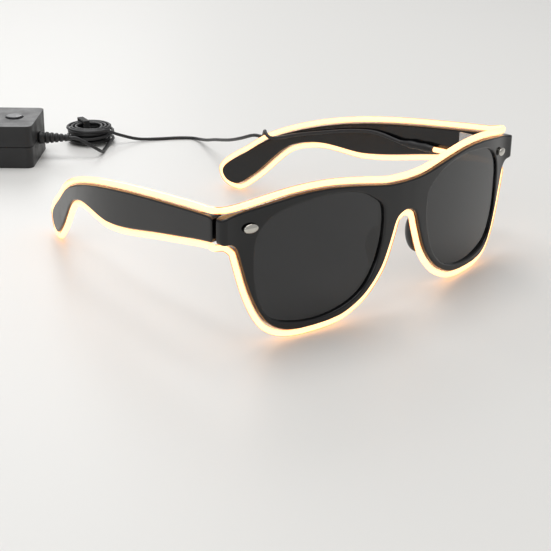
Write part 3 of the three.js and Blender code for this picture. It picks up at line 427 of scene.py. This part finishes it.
def bent_plate(name, node, run, out, side, thick, edge, holes=0, least=0.6, wrap=0.0):
    """A plate cut to the outline of a CAD node's outer face, with rounded edges, bent to its line."""
    loops, spots = outer_face(node, out, side, least)
    along_it, across_it = spots[:, run], spots[:, out]
    if wrap:
        along_it = np.abs(along_it)
        end = along_it.max()
        flat = along_it < end - wrap * wrap_clear
        along_it, across_it = along_it[flat], across_it[flat]
    line = np.polynomial.Polynomial.fit(along_it, across_it, line_degree)
    outline = bpy.data.curves.new(name, "CURVE")
    outline.dimensions = "2D"
    outline.fill_mode = "BOTH"
    outline.extrude = thick / 2 - edge
    outline.bevel_depth = edge
    outline.bevel_resolution = 2
    outline.offset = -edge
    for loop in loops[:1 + holes]:
        even = softened(loop[:, [run, 2]])
        spline = outline.splines.new("POLY")
        spline.points.add(len(even) - 1)
        spline.use_cyclic_u = True
        for point, (along, up) in zip(spline.points, even):
            point.co = (along, up, 0, 1)
    seed = bpy.data.objects.new(name, outline)
    scene.collection.objects.link(seed)
    flat_mesh = bpy.data.meshes.new_from_object(seed.evaluated_get(bpy.context.evaluated_depsgraph_get()))
    bpy.data.objects.remove(seed)
    body = bmesh.new()
    body.from_mesh(flat_mesh)
    bmesh.ops.remove_doubles(body, verts=body.verts, dist=plate_weld)
    low, high = min(v.co.x for v in body.verts), max(v.co.x for v in body.verts)
    cuts = int((high - low) / bend_step)
    places = [low + (high - low) * i / cuts for i in range(1, cuts)]
    if wrap:
        fine = [end - wrap * (1 - math.cos(math.radians(a))) for a in wrap_cuts_deg]
        places += fine + [-x for x in fine]
    for x in places:
        bmesh.ops.bisect_plane(body, geom=body.verts[:] + body.edges[:] + body.faces[:],
                               plane_co=(x, 0, 0), plane_no=(1, 0, 0), dist=cut_play)
    for vert in body.verts:
        along, up, deep = vert.co
        across = line(abs(along) if wrap else along)
        inward = thick / 2 - deep
        if wrap:
            past = min(max(abs(along) - (end - wrap), 0), wrap)
            inward += (wrap - math.sqrt(wrap * wrap - past * past)) * (1 - inward / thick)
        vert.co[run] = along
        vert.co[out] = across - side * inward
        vert.co[2] = up
    bmesh.ops.recalc_face_normals(body, faces=body.faces)
    for face in body.faces:
        face.smooth = True
    mesh = bpy.data.meshes.new(name)
    body.to_mesh(mesh)
    return mesh


# Injection-moulded polycarbonate: deep black, a wet gloss, a faint wave and a soft smear of handling.
gloss_black, tree, place, output = new_material("moulded_black_polycarbonate")
wave = add_node(tree, "ShaderNodeTexNoise", {"Scale": 1 / (11 * MM), "Detail": 1.0}, {"Vector": place})
grain = add_node(tree, "ShaderNodeTexNoise", {"Scale": 1 / (0.5 * MM), "Detail": 4.0}, {"Vector": place})
smear = add_node(tree, "ShaderNodeTexNoise", {"Scale": 1 / (7 * MM), "Detail": 5.0, "Distortion": 0.6},
                 {"Vector": place})
sheen = add_node(tree, "ShaderNodeMapRange",
                 {"From Min": 0.35, "From Max": 0.75, "To Min": 0.1, "To Max": 0.24},
                 {"Value": smear.outputs[0]})
swell = add_node(tree, "ShaderNodeBump", {"Strength": 0.25, "Distance": 0.25 * MM},
                 {"Height": wave.outputs[0]})
skin = add_node(tree, "ShaderNodeBump", {"Strength": 0.06, "Distance": 0.03 * MM},
                {"Height": grain.outputs[0], "Normal": swell.outputs[0]})
shader = add_node(tree, "ShaderNodeBsdfPrincipled", {"Base Color": linear("#08080A"), "IOR": 1.5},
                  {"Roughness": sheen.outputs[0], "Normal": skin.outputs[0]})
tree.links.new(shader.outputs[0], output.inputs["Surface"])

front_mesh = bent_plate("front_moulding", "front_frame", 0, 1, -1, front_t, moulded_edge,
                        holes=2, least=0.15, wrap=end_round)
front_mesh.materials.append(gloss_black)
front_moulding = piece("front_moulding", front_mesh, "front")
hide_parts("front_frame")
ease(front_moulding, 0)

# The nose pads are two rounded swellings of the same moulding, on its back beside the bridge.
# They are cast with it, so there is no seam, only the crease where each leaves the plate.
pad_x = 10.585 * MM
pad_z = 22.5 * MM
pad_reach = 4.6 * MM
pad_root = 0.8 * MM
pad_half_width = 3.0 * MM
pad_half_height = 7.2 * MM
pad_segments = 40
pad_rings = 24
front_solid = bmesh.new()
front_solid.from_mesh(front_mesh)
front_shape = BVHTree.FromBMesh(front_solid)
for name, side in (("nose_pad_left", 1), ("nose_pad_right", -1)):
    plate_back = front_shape.ray_cast(Vector((pad_x * side, 0, pad_z)), Vector((0, -1, 0)))[0]
    swelling = bmesh.new()
    bmesh.ops.create_uvsphere(swelling, u_segments=pad_segments, v_segments=pad_rings, radius=1)
    for vert in swelling.verts:
        depth = pad_reach if vert.co.y > 0 else pad_root
        vert.co = plate_back + Vector((pad_half_width, depth, pad_half_height)) * vert.co
    for face in swelling.faces:
        face.smooth = True
    pad_mesh = bpy.data.meshes.new(name)
    swelling.to_mesh(pad_mesh)
    pad_mesh.materials.append(gloss_black)
    piece(name, pad_mesh, "front")

# The lenses are cut from 1.8 mm smoke-grey polycarbonate sheet, bent to the front and snapped into
# the grooves round its openings. The hard coat gives them clean, sharp reflections.
lens_t = 1.8 * MM
lens_edge = 0.2 * MM
smoke, tree, place, output = new_material("smoke_polycarbonate_sheet")
warp = add_node(tree, "ShaderNodeTexNoise", {"Scale": 1 / (22 * MM), "Detail": 1.0}, {"Vector": place})
dust = add_node(tree, "ShaderNodeTexNoise", {"Scale": 1 / (0.7 * MM), "Detail": 3.0}, {"Vector": place})
haze = add_node(tree, "ShaderNodeMapRange",
                {"From Min": 0.5, "From Max": 0.9, "To Min": 0.02, "To Max": 0.12},
                {"Value": dust.outputs[0]})
sag = add_node(tree, "ShaderNodeBump", {"Strength": 0.3, "Distance": 0.15 * MM},
               {"Height": warp.outputs[0]})
shader = add_node(tree, "ShaderNodeBsdfPrincipled",
                  {"Base Color": linear("#1C1D1F"), "IOR": 1.585, "Transmission Weight": 1.0},
                  {"Roughness": haze.outputs[0], "Normal": sag.outputs[0]})
tree.links.new(shader.outputs[0], output.inputs["Surface"])
for side in ("left", "right"):
    lens_mesh = bent_plate(f"smoke_lens_{side}", f"lens_{side}", 0, 1, -1, lens_t, lens_edge)
    lens_mesh.materials.append(smoke)
    lens = piece(f"smoke_lens_{side}", lens_mesh, "front")
    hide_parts(f"lens_{side}")
    ease(lens, 0)

# The hinges are stamped from 0.9 mm bright steel strip: a leaf with two ears behind the front, a
# leaf with one ear inside the arm, each edge a little rounded by tumbling.
hinge_edge = 0.12 * MM


def grained(name, light, dark, roughness, grain_mm, depth_mm, stretch=(1, 1, 1), **more):
    """A solid finish that varies a little in colour and gloss, with a grain of a real size."""
    made, tree, place, output = new_material(name)
    laid = add_node(tree, "ShaderNodeMapping", {"Scale": stretch}, {"Vector": place})
    grain = add_node(tree, "ShaderNodeTexNoise", {"Scale": 1 / (grain_mm * MM), "Detail": 4.0},
                     {"Vector": laid.outputs[0]})
    worn = add_node(tree, "ShaderNodeTexNoise", {"Scale": 1 / (6 * MM), "Detail": 3.0}, {"Vector": place})
    tint = add_node(tree, "ShaderNodeMix", {"data_type": "RGBA", 6: linear(dark), 7: linear(light)},
                    {0: grain.outputs[0]})
    span = {"From Min": 0.3, "From Max": 0.7, "To Min": roughness * 0.8, "To Max": roughness * 1.25}
    gloss = add_node(tree, "ShaderNodeMapRange", span, {"Value": worn.outputs[0]})
    relief = add_node(tree, "ShaderNodeBump", {"Strength": 0.6, "Distance": depth_mm * MM},
                      {"Height": grain.outputs[0]})
    shader = add_node(tree, "ShaderNodeBsdfPrincipled", {k.replace("_", " "): v for k, v in more.items()},
                      {"Base Color": tint.outputs[2], "Roughness": gloss.outputs[0],
                       "Normal": relief.outputs[0]})
    tree.links.new(shader.outputs[0], output.inputs["Surface"])
    return made


bright_steel = grained("stamped_bright_steel", "#C9CACC", "#A9ABAE", 0.26, 0.25, 0.01, (1, 1, 0.08),
                       Metallic=1.0)
for side in ("left", "right"):
    dress(f"front_hinge_{side}", bright_steel, hinge_edge)
    dress(f"temple_hinge_{side}", bright_steel, hinge_edge)

# The screws are zinc-plated steel with a cross recess. Two are the hinges' pins, driven from above,
# and four go up through the pack's base with their heads sunk in it.
head_sides = 28
shank_sides = 20
crown_share = 0.74
recess_reach_share = 1.15
recess_width_share = 0.26
pin_head_r = 1.5 * MM
pin_head_h = 0.8 * MM
pin_r = 0.75 * MM
screws = new_tree("cross_head_screws", [("Head radius", "Float"), ("Head height", "Float"),
                                        ("Shank radius", "Float"), ("Shank length", "Float"),
                                        ("Turn over", "Float"), ("Finish", "Material")])
screw_in = add_node(screws, "NodeGroupInput").outputs
crown = add_node(screws, "ShaderNodeMath", {"operation": "MULTIPLY", 1: crown_share},
                 {0: screw_in["Head radius"]})
head = add_node(screws, "GeometryNodeMeshCone", {"Vertices": head_sides},
                {"Radius Top": crown.outputs[0], "Radius Bottom": screw_in["Head radius"],
                 "Depth": screw_in["Head height"]})
reach = add_node(screws, "ShaderNodeMath", {"operation": "MULTIPLY", 1: recess_reach_share},
                 {0: screw_in["Head radius"]})
blade = add_node(screws, "ShaderNodeMath", {"operation": "MULTIPLY", 1: recess_width_share},
                 {0: screw_in["Head radius"]})
top = add_node(screws, "ShaderNodeCombineXYZ", None, {"Z": screw_in["Head height"]})
recessed = head
for wide, narrow in ((reach, blade), (blade, reach)):
    size = add_node(screws, "ShaderNodeCombineXYZ", None,
                    {"X": wide.outputs[0], "Y": narrow.outputs[0], "Z": screw_in["Head height"]})
    bit = add_node(screws, "GeometryNodeMeshCube", None, {"Size": size.outputs[0]})
    lifted = add_node(screws, "GeometryNodeTransform", None,
                      {"Geometry": bit.outputs[0], "Translation": top.outputs[0]})
    cut = add_node(screws, "GeometryNodeMeshBoolean", {"operation": "DIFFERENCE"})
    screws.links.new(recessed.outputs[0], cut.inputs[0])
    screws.links.new(lifted.outputs[0], cut.inputs[1])
    recessed = cut
half = add_node(screws, "ShaderNodeMath", {"operation": "MULTIPLY", 1: -0.5}, {0: screw_in["Shank length"]})
middle = add_node(screws, "ShaderNodeCombineXYZ", None, {"Z": half.outputs[0]})
shank = add_node(screws, "GeometryNodeMeshCylinder", {"Vertices": shank_sides},
                 {"Radius": screw_in["Shank radius"], "Depth": screw_in["Shank length"]})
hung = add_node(screws, "GeometryNodeTransform", None,
                {"Geometry": shank.outputs[0], "Translation": middle.outputs[0]})
both = add_node(screws, "GeometryNodeJoinGeometry")
screws.links.new(recessed.outputs[0], both.inputs[0])
screws.links.new(hung.outputs[0], both.inputs[0])
turn = add_node(screws, "ShaderNodeCombineXYZ", None, {"X": screw_in["Turn over"]})
placed = add_node(screws, "GeometryNodeInstanceOnPoints", None,
                  {"Points": screw_in["Geometry"], "Instance": both.outputs[0], "Rotation": turn.outputs[0]})
solid = add_node(screws, "GeometryNodeRealizeInstances", None, {"Geometry": placed.outputs[0]})
plated = add_node(screws, "GeometryNodeSetMaterial", None,
                  {"Geometry": solid.outputs[0], "Material": screw_in["Finish"]})
add_node(screws, "NodeGroupOutput", None, {"Geometry": plated.outputs[0]})
zinc_steel = grained("zinc_plated_steel", "#D3D2CC", "#B4B3AE", 0.24, 0.3, 0.008, Metallic=1.0)


def screw_set(name, stands_for, head_r, head_h, shank_r, upside_down):
    """Screws in the boxes of their CAD nodes, as one mesh."""
    boxes = [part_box(node) for node in stands_for]
    low, high = boxes[0]
    seats = [Vector(((a.x + b.x) / 2, (a.y + b.y) / 2, a.z + head_h if upside_down else b.z - head_h))
             for a, b in boxes]
    spots = bpy.data.meshes.new(name)
    spots.from_pydata(seats, [], [])
    mesh = grown(name, spots, screws, **{
        "Head radius": head_r, "Head height": head_h, "Shank radius": shank_r,
        "Shank length": high.z - low.z - head_h, "Turn over": math.pi if upside_down else 0.0,
        "Finish": zinc_steel})
    made = piece(name, mesh, "front")
    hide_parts(*stands_for)
    return made


screw_set("hinge_pins", ["hinge_screw_left", "hinge_screw_right"], pin_head_r, pin_head_h, pin_r, False)

# The rivet heads on the front's ends are oval, domed and nickel-plated. Their pins go through the
# front and hold the hinges' leaves.
stud_edge = 0.08 * MM
nickel = grained("polished_nickel_plate", "#D9D6CE", "#C6C3BB", 0.12, 0.4, 0.004, Metallic=1.0)
for side in ("left", "right"):
    dress(f"front_stud_{side}", nickel, stud_edge)

# The arms are moulded like the front, 3.6 mm thick, cut square behind it and swept in towards the
# tips, which drop behind the ears.
arm_t = 3.6 * MM
plates = [front_mesh]
for side, way in (("left", 1), ("right", -1)):
    arm_mesh = bent_plate(f"arm_moulding_{side}", f"temple_{side}", 1, 0, way, arm_t, moulded_edge)
    arm_mesh.materials.append(gloss_black)
    arm_moulding = piece(f"arm_moulding_{side}", arm_mesh, f"temple_{side}")
    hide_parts(f"temple_{side}")
    ease(arm_moulding, 0)
    plates.append(arm_mesh)

# The glow wire is one length, laid round both arms and the front: a phosphor-coated copper core in
# a clear sleeve tinted amber. The lit core looks creamy white between thin orange edges, which come
# from the sleeve's amber tint and from a weak painted orange glow given to the sleeve itself.
wire_r = 1.12 * MM
core_r = 0.56 * MM
wire_sides = 20
wire_parts = [
    ("el_wire_temple_left", "temple_left", None), ("el_wire_corner_top_left", "temple_left", "front"),
    ("el_wire_front_top", "front", None), ("el_wire_corner_top_right", "front", "temple_right"),
    ("el_wire_temple_right", "temple_right", None), ("el_wire_corner_bottom_right", "temple_right", "front"),
    ("el_wire_front_bottom", "front", None), ("el_wire_feed_bend", "front", "temple_left"),
    ("el_wire_feed_end", "temple_left", None),
]
wire_spans = 3
amber, tree, place, output = new_material("amber_pvc_sleeve_painted_glow")
draw = add_node(tree, "ShaderNodeTexNoise", {"Scale": 1 / (3 * MM), "Detail": 2.0}, {"Vector": place})
ripple = add_node(tree, "ShaderNodeBump", {"Strength": 0.2, "Distance": 0.06 * MM},
                  {"Height": draw.outputs[0]})
# The sleeve's emission is a painted glow: a weak constant orange light of its own, standing for the core's
# light scattered in it.
shader = add_node(tree, "ShaderNodeBsdfPrincipled",
                  {"Base Color": linear("#FFC378"), "Roughness": 0.12, "IOR": 1.5, "Transmission Weight": 1.0,
                   "Emission Color": linear("#FF8A2E"), "Emission Strength": 0.3},
                  {"Normal": ripple.outputs[0]})
tree.links.new(shader.outputs[0], output.inputs["Surface"])
phosphor, tree, place, output = new_material("lit_phosphor_core")
mottle = add_node(tree, "ShaderNodeTexNoise", {"Scale": 1 / (1.5 * MM), "Detail": 2.0}, {"Vector": place})
light = add_node(tree, "ShaderNodeMapRange", {"To Min": 1.45, "To Max": 1.85}, {"Value": mottle.outputs[0]})
shader = add_node(tree, "ShaderNodeBsdfPrincipled",
                  {"Base Color": linear("#FFF3DC"), "Roughness": 0.6, "Emission Color": linear("#FFFBF2")},
                  {"Emission Strength": light.outputs[0]})
tree.links.new(shader.outputs[0], output.inputs["Surface"])

wire_points = []
wire_starts = []
for node, _, _ in wire_parts:
    line = centreline(node)
    if not wire_points and line[0].z > line[-1].z:
        line.reverse()
    if wire_points and (line[0] - wire_points[-1]).length > (line[-1] - wire_points[-1]).length:
        line.reverse()
    wire_starts.append(len(wire_points))
    wire_points += line
wire_line = curved(wire_points, wire_spans)
wire_stops = [*wire_starts[1:], len(wire_points) - 1]
glue_lines = {}
for (node, body, other), start, stop in zip(wire_parts, wire_starts, wire_stops):
    stretch = wire_line[start * wire_spans:stop * wire_spans + 1]
    place_name = node.removeprefix("el_wire_")
    for made, radius, finish in ((f"wire_sleeve_{place_name}", wire_r, amber),
                                 (f"wire_core_{place_name}", core_r, phosphor)):
        tube = piece(made, sweep(made, [stretch], radius, wire_sides, finish, closed=False),
                     None if other else body)
        if other:
            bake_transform(tube)
        if finish is amber:
            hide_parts(node)
    if not other:
        glue_lines.setdefault(body, []).append(stretch)

# Clear glue holds the wire to the mouldings' edges: a thin bead in the crease, thicker in places,
# with a few smears and tacks where more was needed.
glue_r = 0.34 * MM
glue_sides = 10
glue_room = 0.05 * MM
glue_near = 2.6 * MM
least_bead = 8
run_of_sizes = 7
glue_end = 0.4
glue_thinnest = 0.55
glue_swell = 0.9
glue, tree, place, output = new_material("clear_set_glue")
lump = add_node(tree, "ShaderNodeTexNoise", {"Scale": 1 / (1.2 * MM), "Detail": 3.0}, {"Vector": place})
blob = add_node(tree, "ShaderNodeBump", {"Strength": 0.6, "Distance": 0.2 * MM}, {"Height": lump.outputs[0]})
shader = add_node(tree, "ShaderNodeBsdfPrincipled",
                  {"Base Color": linear("#F4EFE4"), "Roughness": 0.18, "IOR": 1.48,
                   "Transmission Weight": 0.9},
                  {"Normal": blob.outputs[0]})
tree.links.new(shader.outputs[0], output.inputs["Surface"])
tack = np.random.default_rng(7)
plastic = bmesh.new()
for mesh in plates:
    plastic.from_mesh(mesh)
plastic_shape = BVHTree.FromBMesh(plastic)
for body, stretches in glue_lines.items():
    beads = []
    widths = []
    for stretch in stretches:
        bead = []
        for point in stretch:
            touch, _, _, far = plastic_shape.find_nearest(point)
            if far < glue_near:
                bead.append(point + (touch - point).normalized() * (wire_r + glue_room))
        if len(bead) > least_bead:
            drawn = tack.random(len(bead) + run_of_sizes - 1)
            rough = np.convolve(drawn, np.ones(run_of_sizes) / run_of_sizes, mode="valid")
            beads.append(bead)
            widths.append([glue_end, *(glue_thinnest + glue_swell * rough[1:-1]), glue_end])
    mesh = sweep(f"glue_bead_{body}", beads, glue_r, glue_sides, glue, widths)
    piece(f"glue_bead_{body}", mesh, body)

# The wire's blind end is sealed by a short heat-shrink cap, glued in a notch under the left hinge.
# A longer sleeve covers the soldered splice of the fed end and the lead, inside the left arm.
shrink_tube = grained("shrunk_polyolefin_tube", "#1B1B1D", "#121213", 0.5, 0.4, 0.03)
shrink_sides = 20
cap_r = 1.6 * MM
cap_hold = 2.8 * MM
cap_past = 1.4 * MM
inwards = (wire_points[1] - wire_points[0]).normalized()
cap_swell = [0.86, 0.93, 0.97, 0.99, 1, 1, 1, 0.99, 0.97, 0.92, 0.82, 0.62, 0.2]
cap_steps = len(cap_swell) - 1
cap_line = [wire_points[0] + inwards * (cap_hold - (cap_hold + cap_past) * i / cap_steps)
            for i in range(cap_steps + 1)]
cap_mesh = sweep("wire_end_cap", [cap_line], cap_r, shrink_sides, shrink_tube, [cap_swell])
end_cap = piece("wire_end_cap", cap_mesh, "temple_left")
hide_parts("el_wire_end_cap")
splice_low, splice_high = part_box("splice_sleeve")
splice_r = 1.56 * MM
splice_ends = [p for p in [*wire_points[-2:], *arm_lead[:4]] if splice_low.y < p.y < splice_high.y]
splice_way = (splice_ends[-1] - splice_ends[0]) / (splice_ends[-1].y - splice_ends[0].y)
splice_swell = [0.84, 0.87, 0.9, 0.97, 1, 0.95, 0.9, 0.88, 0.89, 0.94, 0.98, 0.93, 0.8, 0.68, 0.62, 0.6]
splice_steps = len(splice_swell) - 1
splice_line = [splice_ends[0] + splice_way * (splice_low.y + (splice_high.y - splice_low.y) * i / splice_steps
               - splice_ends[0].y) for i in range(splice_steps + 1)]
splice_mesh = sweep("splice_shrink", [splice_line], splice_r, shrink_sides, shrink_tube, [splice_swell])
splice = piece("splice_shrink", splice_mesh, "temple_left")
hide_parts("splice_sleeve")

# The lead is glued along the left arm's inner face from the splice, and crosses its top edge
# before the tip, where it comes free.
held_spans = 3
held_line = curved([*arm_lead, lead_exit], held_spans)
held_mesh = sweep("held_lead", [held_line], lead_d / 2, lead_sides, lead_pvc)
held_lead = piece("held_lead", held_mesh, "temple_left")
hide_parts("lead_on_temple")

# The pack's shells and door are moulded ABS with a fine spark-eroded texture, screwed together
# from below. The door slides in grooves over the cells, and ribs at its end give a finger grip.
shell_edge = 0.5 * MM
cover_edge = 0.3 * MM
door_edge = 0.2 * MM
case_head_r = 2.0 * MM
case_head_h = 1.4 * MM
case_shank_r = 1.0 * MM
textured_abs = grained("spark_textured_abs", "#18181A", "#0F0F10", 0.42, 0.22, 0.05, IOR=1.54)
dress("pack_base", textured_abs, shell_edge)
dress("pack_cover", textured_abs, cover_edge)
dress("battery_door", textured_abs, door_edge)
screw_set("case_screws", [f"case_screw_{i}" for i in (1, 2, 3, 4)], case_head_r, case_head_h, case_shank_r,
          True)

# The button is a turned-looking cap of slightly paler ABS, polished by thumbs, on a flange that
# keeps it under the roof. It presses the board's switch.
button_edge = 0.25 * MM
button_abs = grained("rubbed_grey_abs", "#2C2D30", "#232427", 0.3, 0.3, 0.02, IOR=1.54)
dress("mode_button", button_abs, button_edge)

# The boot is moulded onto the lead in soft PVC: a flange inside the wall, a neck through it, and a
# tapering sleeve with rings that let it bend.
boot_sides = 32
boot_profile = [(38.8, 0.2), (38.82, 3.3), (40.0, 3.3), (40.02, 2.1), (42.55, 2.1), (42.6, 2.9), (42.75, 3.0),
                (43.7, 3.0), (43.9, 2.85)]
boot_rings = 5
ring_pitch = 2.2
ring_depth = 0.42
ring_start = 44.6
taper_start = 43.8
taper_r = 3.0
taper = 1.5 / 12.8
for i in range(boot_rings):
    for into, depth in ((0, 0), (0.3, ring_depth), (0.9, ring_depth), (1.2, 0)):
        reach_at = ring_start + i * ring_pitch + into
        boot_profile.append((reach_at, taper_r - (reach_at - taper_start) * taper - depth))
boot_profile += [(56.2, 1.52), (56.5, 1.4), (56.58, 1.1)]
boot_line = [pack_centre + pack_way * at * MM + Vector((0, 0, pack_mid_z)) for at, _ in boot_profile]
boot_mesh = sweep("lead_boot", [boot_line], MM, boot_sides, lead_pvc, [[r for _, r in boot_profile]])
boot = piece("lead_boot", boot_mesh, "front")
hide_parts("strain_relief")

# Two AA cells lie opposite ways in the bay: a drawn steel can with a raised button at one end, in
# a printed film that is shrunk over both rims.
film_profile = [(0.1, 4.9), (0.14, 6.6), (0.25, 7.0), (0.6, 7.2), (48.7, 7.2), (49.0, 7.0),
                (49.12, 6.6), (49.16, 5.4)]
can_profile = [(0.02, 0.2), (0.04, 6.3), (0.3, 6.9), (48.9, 6.9), (49.1, 6.3), (49.22, 5.6),
               (49.26, 2.9), (49.45, 2.6), (50.3, 2.55), (50.48, 2.3), (50.5, 0.2)]
cell_end = 0.1 * MM
can_steel = grained("drawn_steel_can", "#C4C3BE", "#A8A7A2", 0.3, 0.5, 0.01, Metallic=1.0)
cell_film = grained("shrunk_cell_film", "#3F6246", "#365740", 0.3, 0.8, 0.02)
cell_sides = 40
for node in ("cell_1", "cell_2"):
    body = merged(node)
    axis = sum((vert.co for vert in body.verts), Vector()) / len(body.verts)
    spots = [((vert.co - axis).dot(pack_way), (vert.co - axis).cross(pack_way).length) for vert in body.verts]
    ends = min(spots)[0], max(spots)[0]
    rear_r, fore_r = (max(r for at, r in spots if abs(at - end) < cell_end) for end in ends)
    forward = 1 if fore_r < rear_r else -1
    foot = axis + pack_way * ends[0 if forward > 0 else 1]
    for part, profile, finish in (("film", film_profile, cell_film), ("can", can_profile, can_steel)):
        line = [foot + pack_way * forward * at * MM for at, _ in profile]
        mesh = sweep(f"{node}_{part}", [line], MM, cell_sides, finish, [[r for _, r in profile]])
        made = piece(f"{node}_{part}", mesh, "front")
        if part == "film":
            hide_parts(node)

# The contacts are nickel-plated spring steel: a bridge and two plates of 0.5 mm strip, and two
# conical springs wound from 0.7 mm wire.
strip_edge = 0.08 * MM
spring_wire_r = 0.34 * MM
spring_wire_sides = 10
spring_cad_sides = 5
spring_spans = 2
for node in ("contact_bridge", "contact_plate_1", "contact_plate_2"):
    dress(node, nickel, strip_edge)
for node in ("spring_contact_1", "spring_contact_2"):
    turns = curved(centreline(node, spring_cad_sides), spring_spans)
    spring_mesh = sweep(f"wound_{node}", [turns], spring_wire_r, spring_wire_sides, nickel)
    coil_spring = piece(f"wound_{node}", spring_mesh, "front")
    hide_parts(node)

# The inverter board is green-masked glass fibre with its parts soldered on: a ferrite transformer
# with its winding, two capacitors, a transistor in its epoxy case and the push switch.
board_green = grained("solder_masked_board", "#27693F", "#1C5230", 0.35, 1.1, 0.03, Coat_Weight=0.4)
ferrite = grained("sintered_ferrite", "#37373A", "#29292B", 0.62, 0.3, 0.03)
copper = grained("enamelled_copper_winding", "#C27538", "#9A5222", 0.3, 0.35, 0.12, (0.15, 0.15, 1),
                 Metallic=1.0)
film_red = grained("dipped_red_epoxy", "#9C3524", "#84291B", 0.28, 1.6, 0.08)
can_blue = grained("sleeved_aluminium_can", "#22386C", "#1A2C58", 0.3, 0.9, 0.02)
epoxy = grained("moulded_black_epoxy", "#1D1D1E", "#141414", 0.55, 0.25, 0.03)
for node, finish, edge_mm in (
    ("inverter_board", board_green, 0.06), ("transformer_core", ferrite, 0.2),
    ("transformer_winding", copper, 0.25), ("film_capacitor", film_red, 0.6),
    ("electrolytic_capacitor", can_blue, 0.3), ("driver_transistor", epoxy, 0.2),
    ("tact_switch", epoxy, 0.15),
):
    dress(node, finish, edge_mm * MM)

# Studio: a pale matt floor that runs on past the view, a pale surround, and three large soft
# lamps: the main one overhead, a fill from behind and a weaker one from the camera's left.
floor_half = 4.0
floor_mesh = bpy.data.meshes.new("floor")
floor_mesh.from_pydata([(-floor_half, -floor_half, 0), (floor_half, -floor_half, 0),
                        (floor_half, floor_half, 0), (-floor_half, floor_half, 0)], [], [(0, 1, 2, 3)])
floor = bpy.data.objects.new("floor", floor_mesh)
scene.collection.objects.link(floor)
pale_floor, tree, place, output = new_material("pale_matt_floor")
shader = add_node(tree, "ShaderNodeBsdfPrincipled", {"Base Color": linear("#E4E3E0"), "Roughness": 0.45})
tree.links.new(shader.outputs[0], output.inputs["Surface"])
floor_mesh.materials.append(pale_floor)

world = bpy.data.worlds.new("surround")
scene.world = world
world.use_nodes = True
world.node_tree.nodes.clear()
surround = add_node(world.node_tree, "ShaderNodeBackground", {"Color": linear("#E6E6E6"), "Strength": 0.62})
add_node(world.node_tree, "ShaderNodeOutputWorld", None, {"Surface": surround.outputs[0]})

for name, place, size, power in (
    ("overhead", (0.0, 0.1, 1.1), 0.9, 6.8),
    ("camera_left", (-1.1, -0.5, 0.7), 0.6, 1.6),
    ("behind", (0.5, 1.0, 0.6), 0.6, 3.0),
):
    lamp_data = bpy.data.lights.new(name, "AREA")
    lamp_data.size = size
    lamp_data.energy = power
    lamp = bpy.data.objects.new(name, lamp_data)
    lamp.location = place
    lamp.rotation_euler = (-Vector(place)).to_track_quat("-Z", "Y").to_euler()
    scene.collection.objects.link(lamp)
scene.view_settings.view_transform = "Standard"
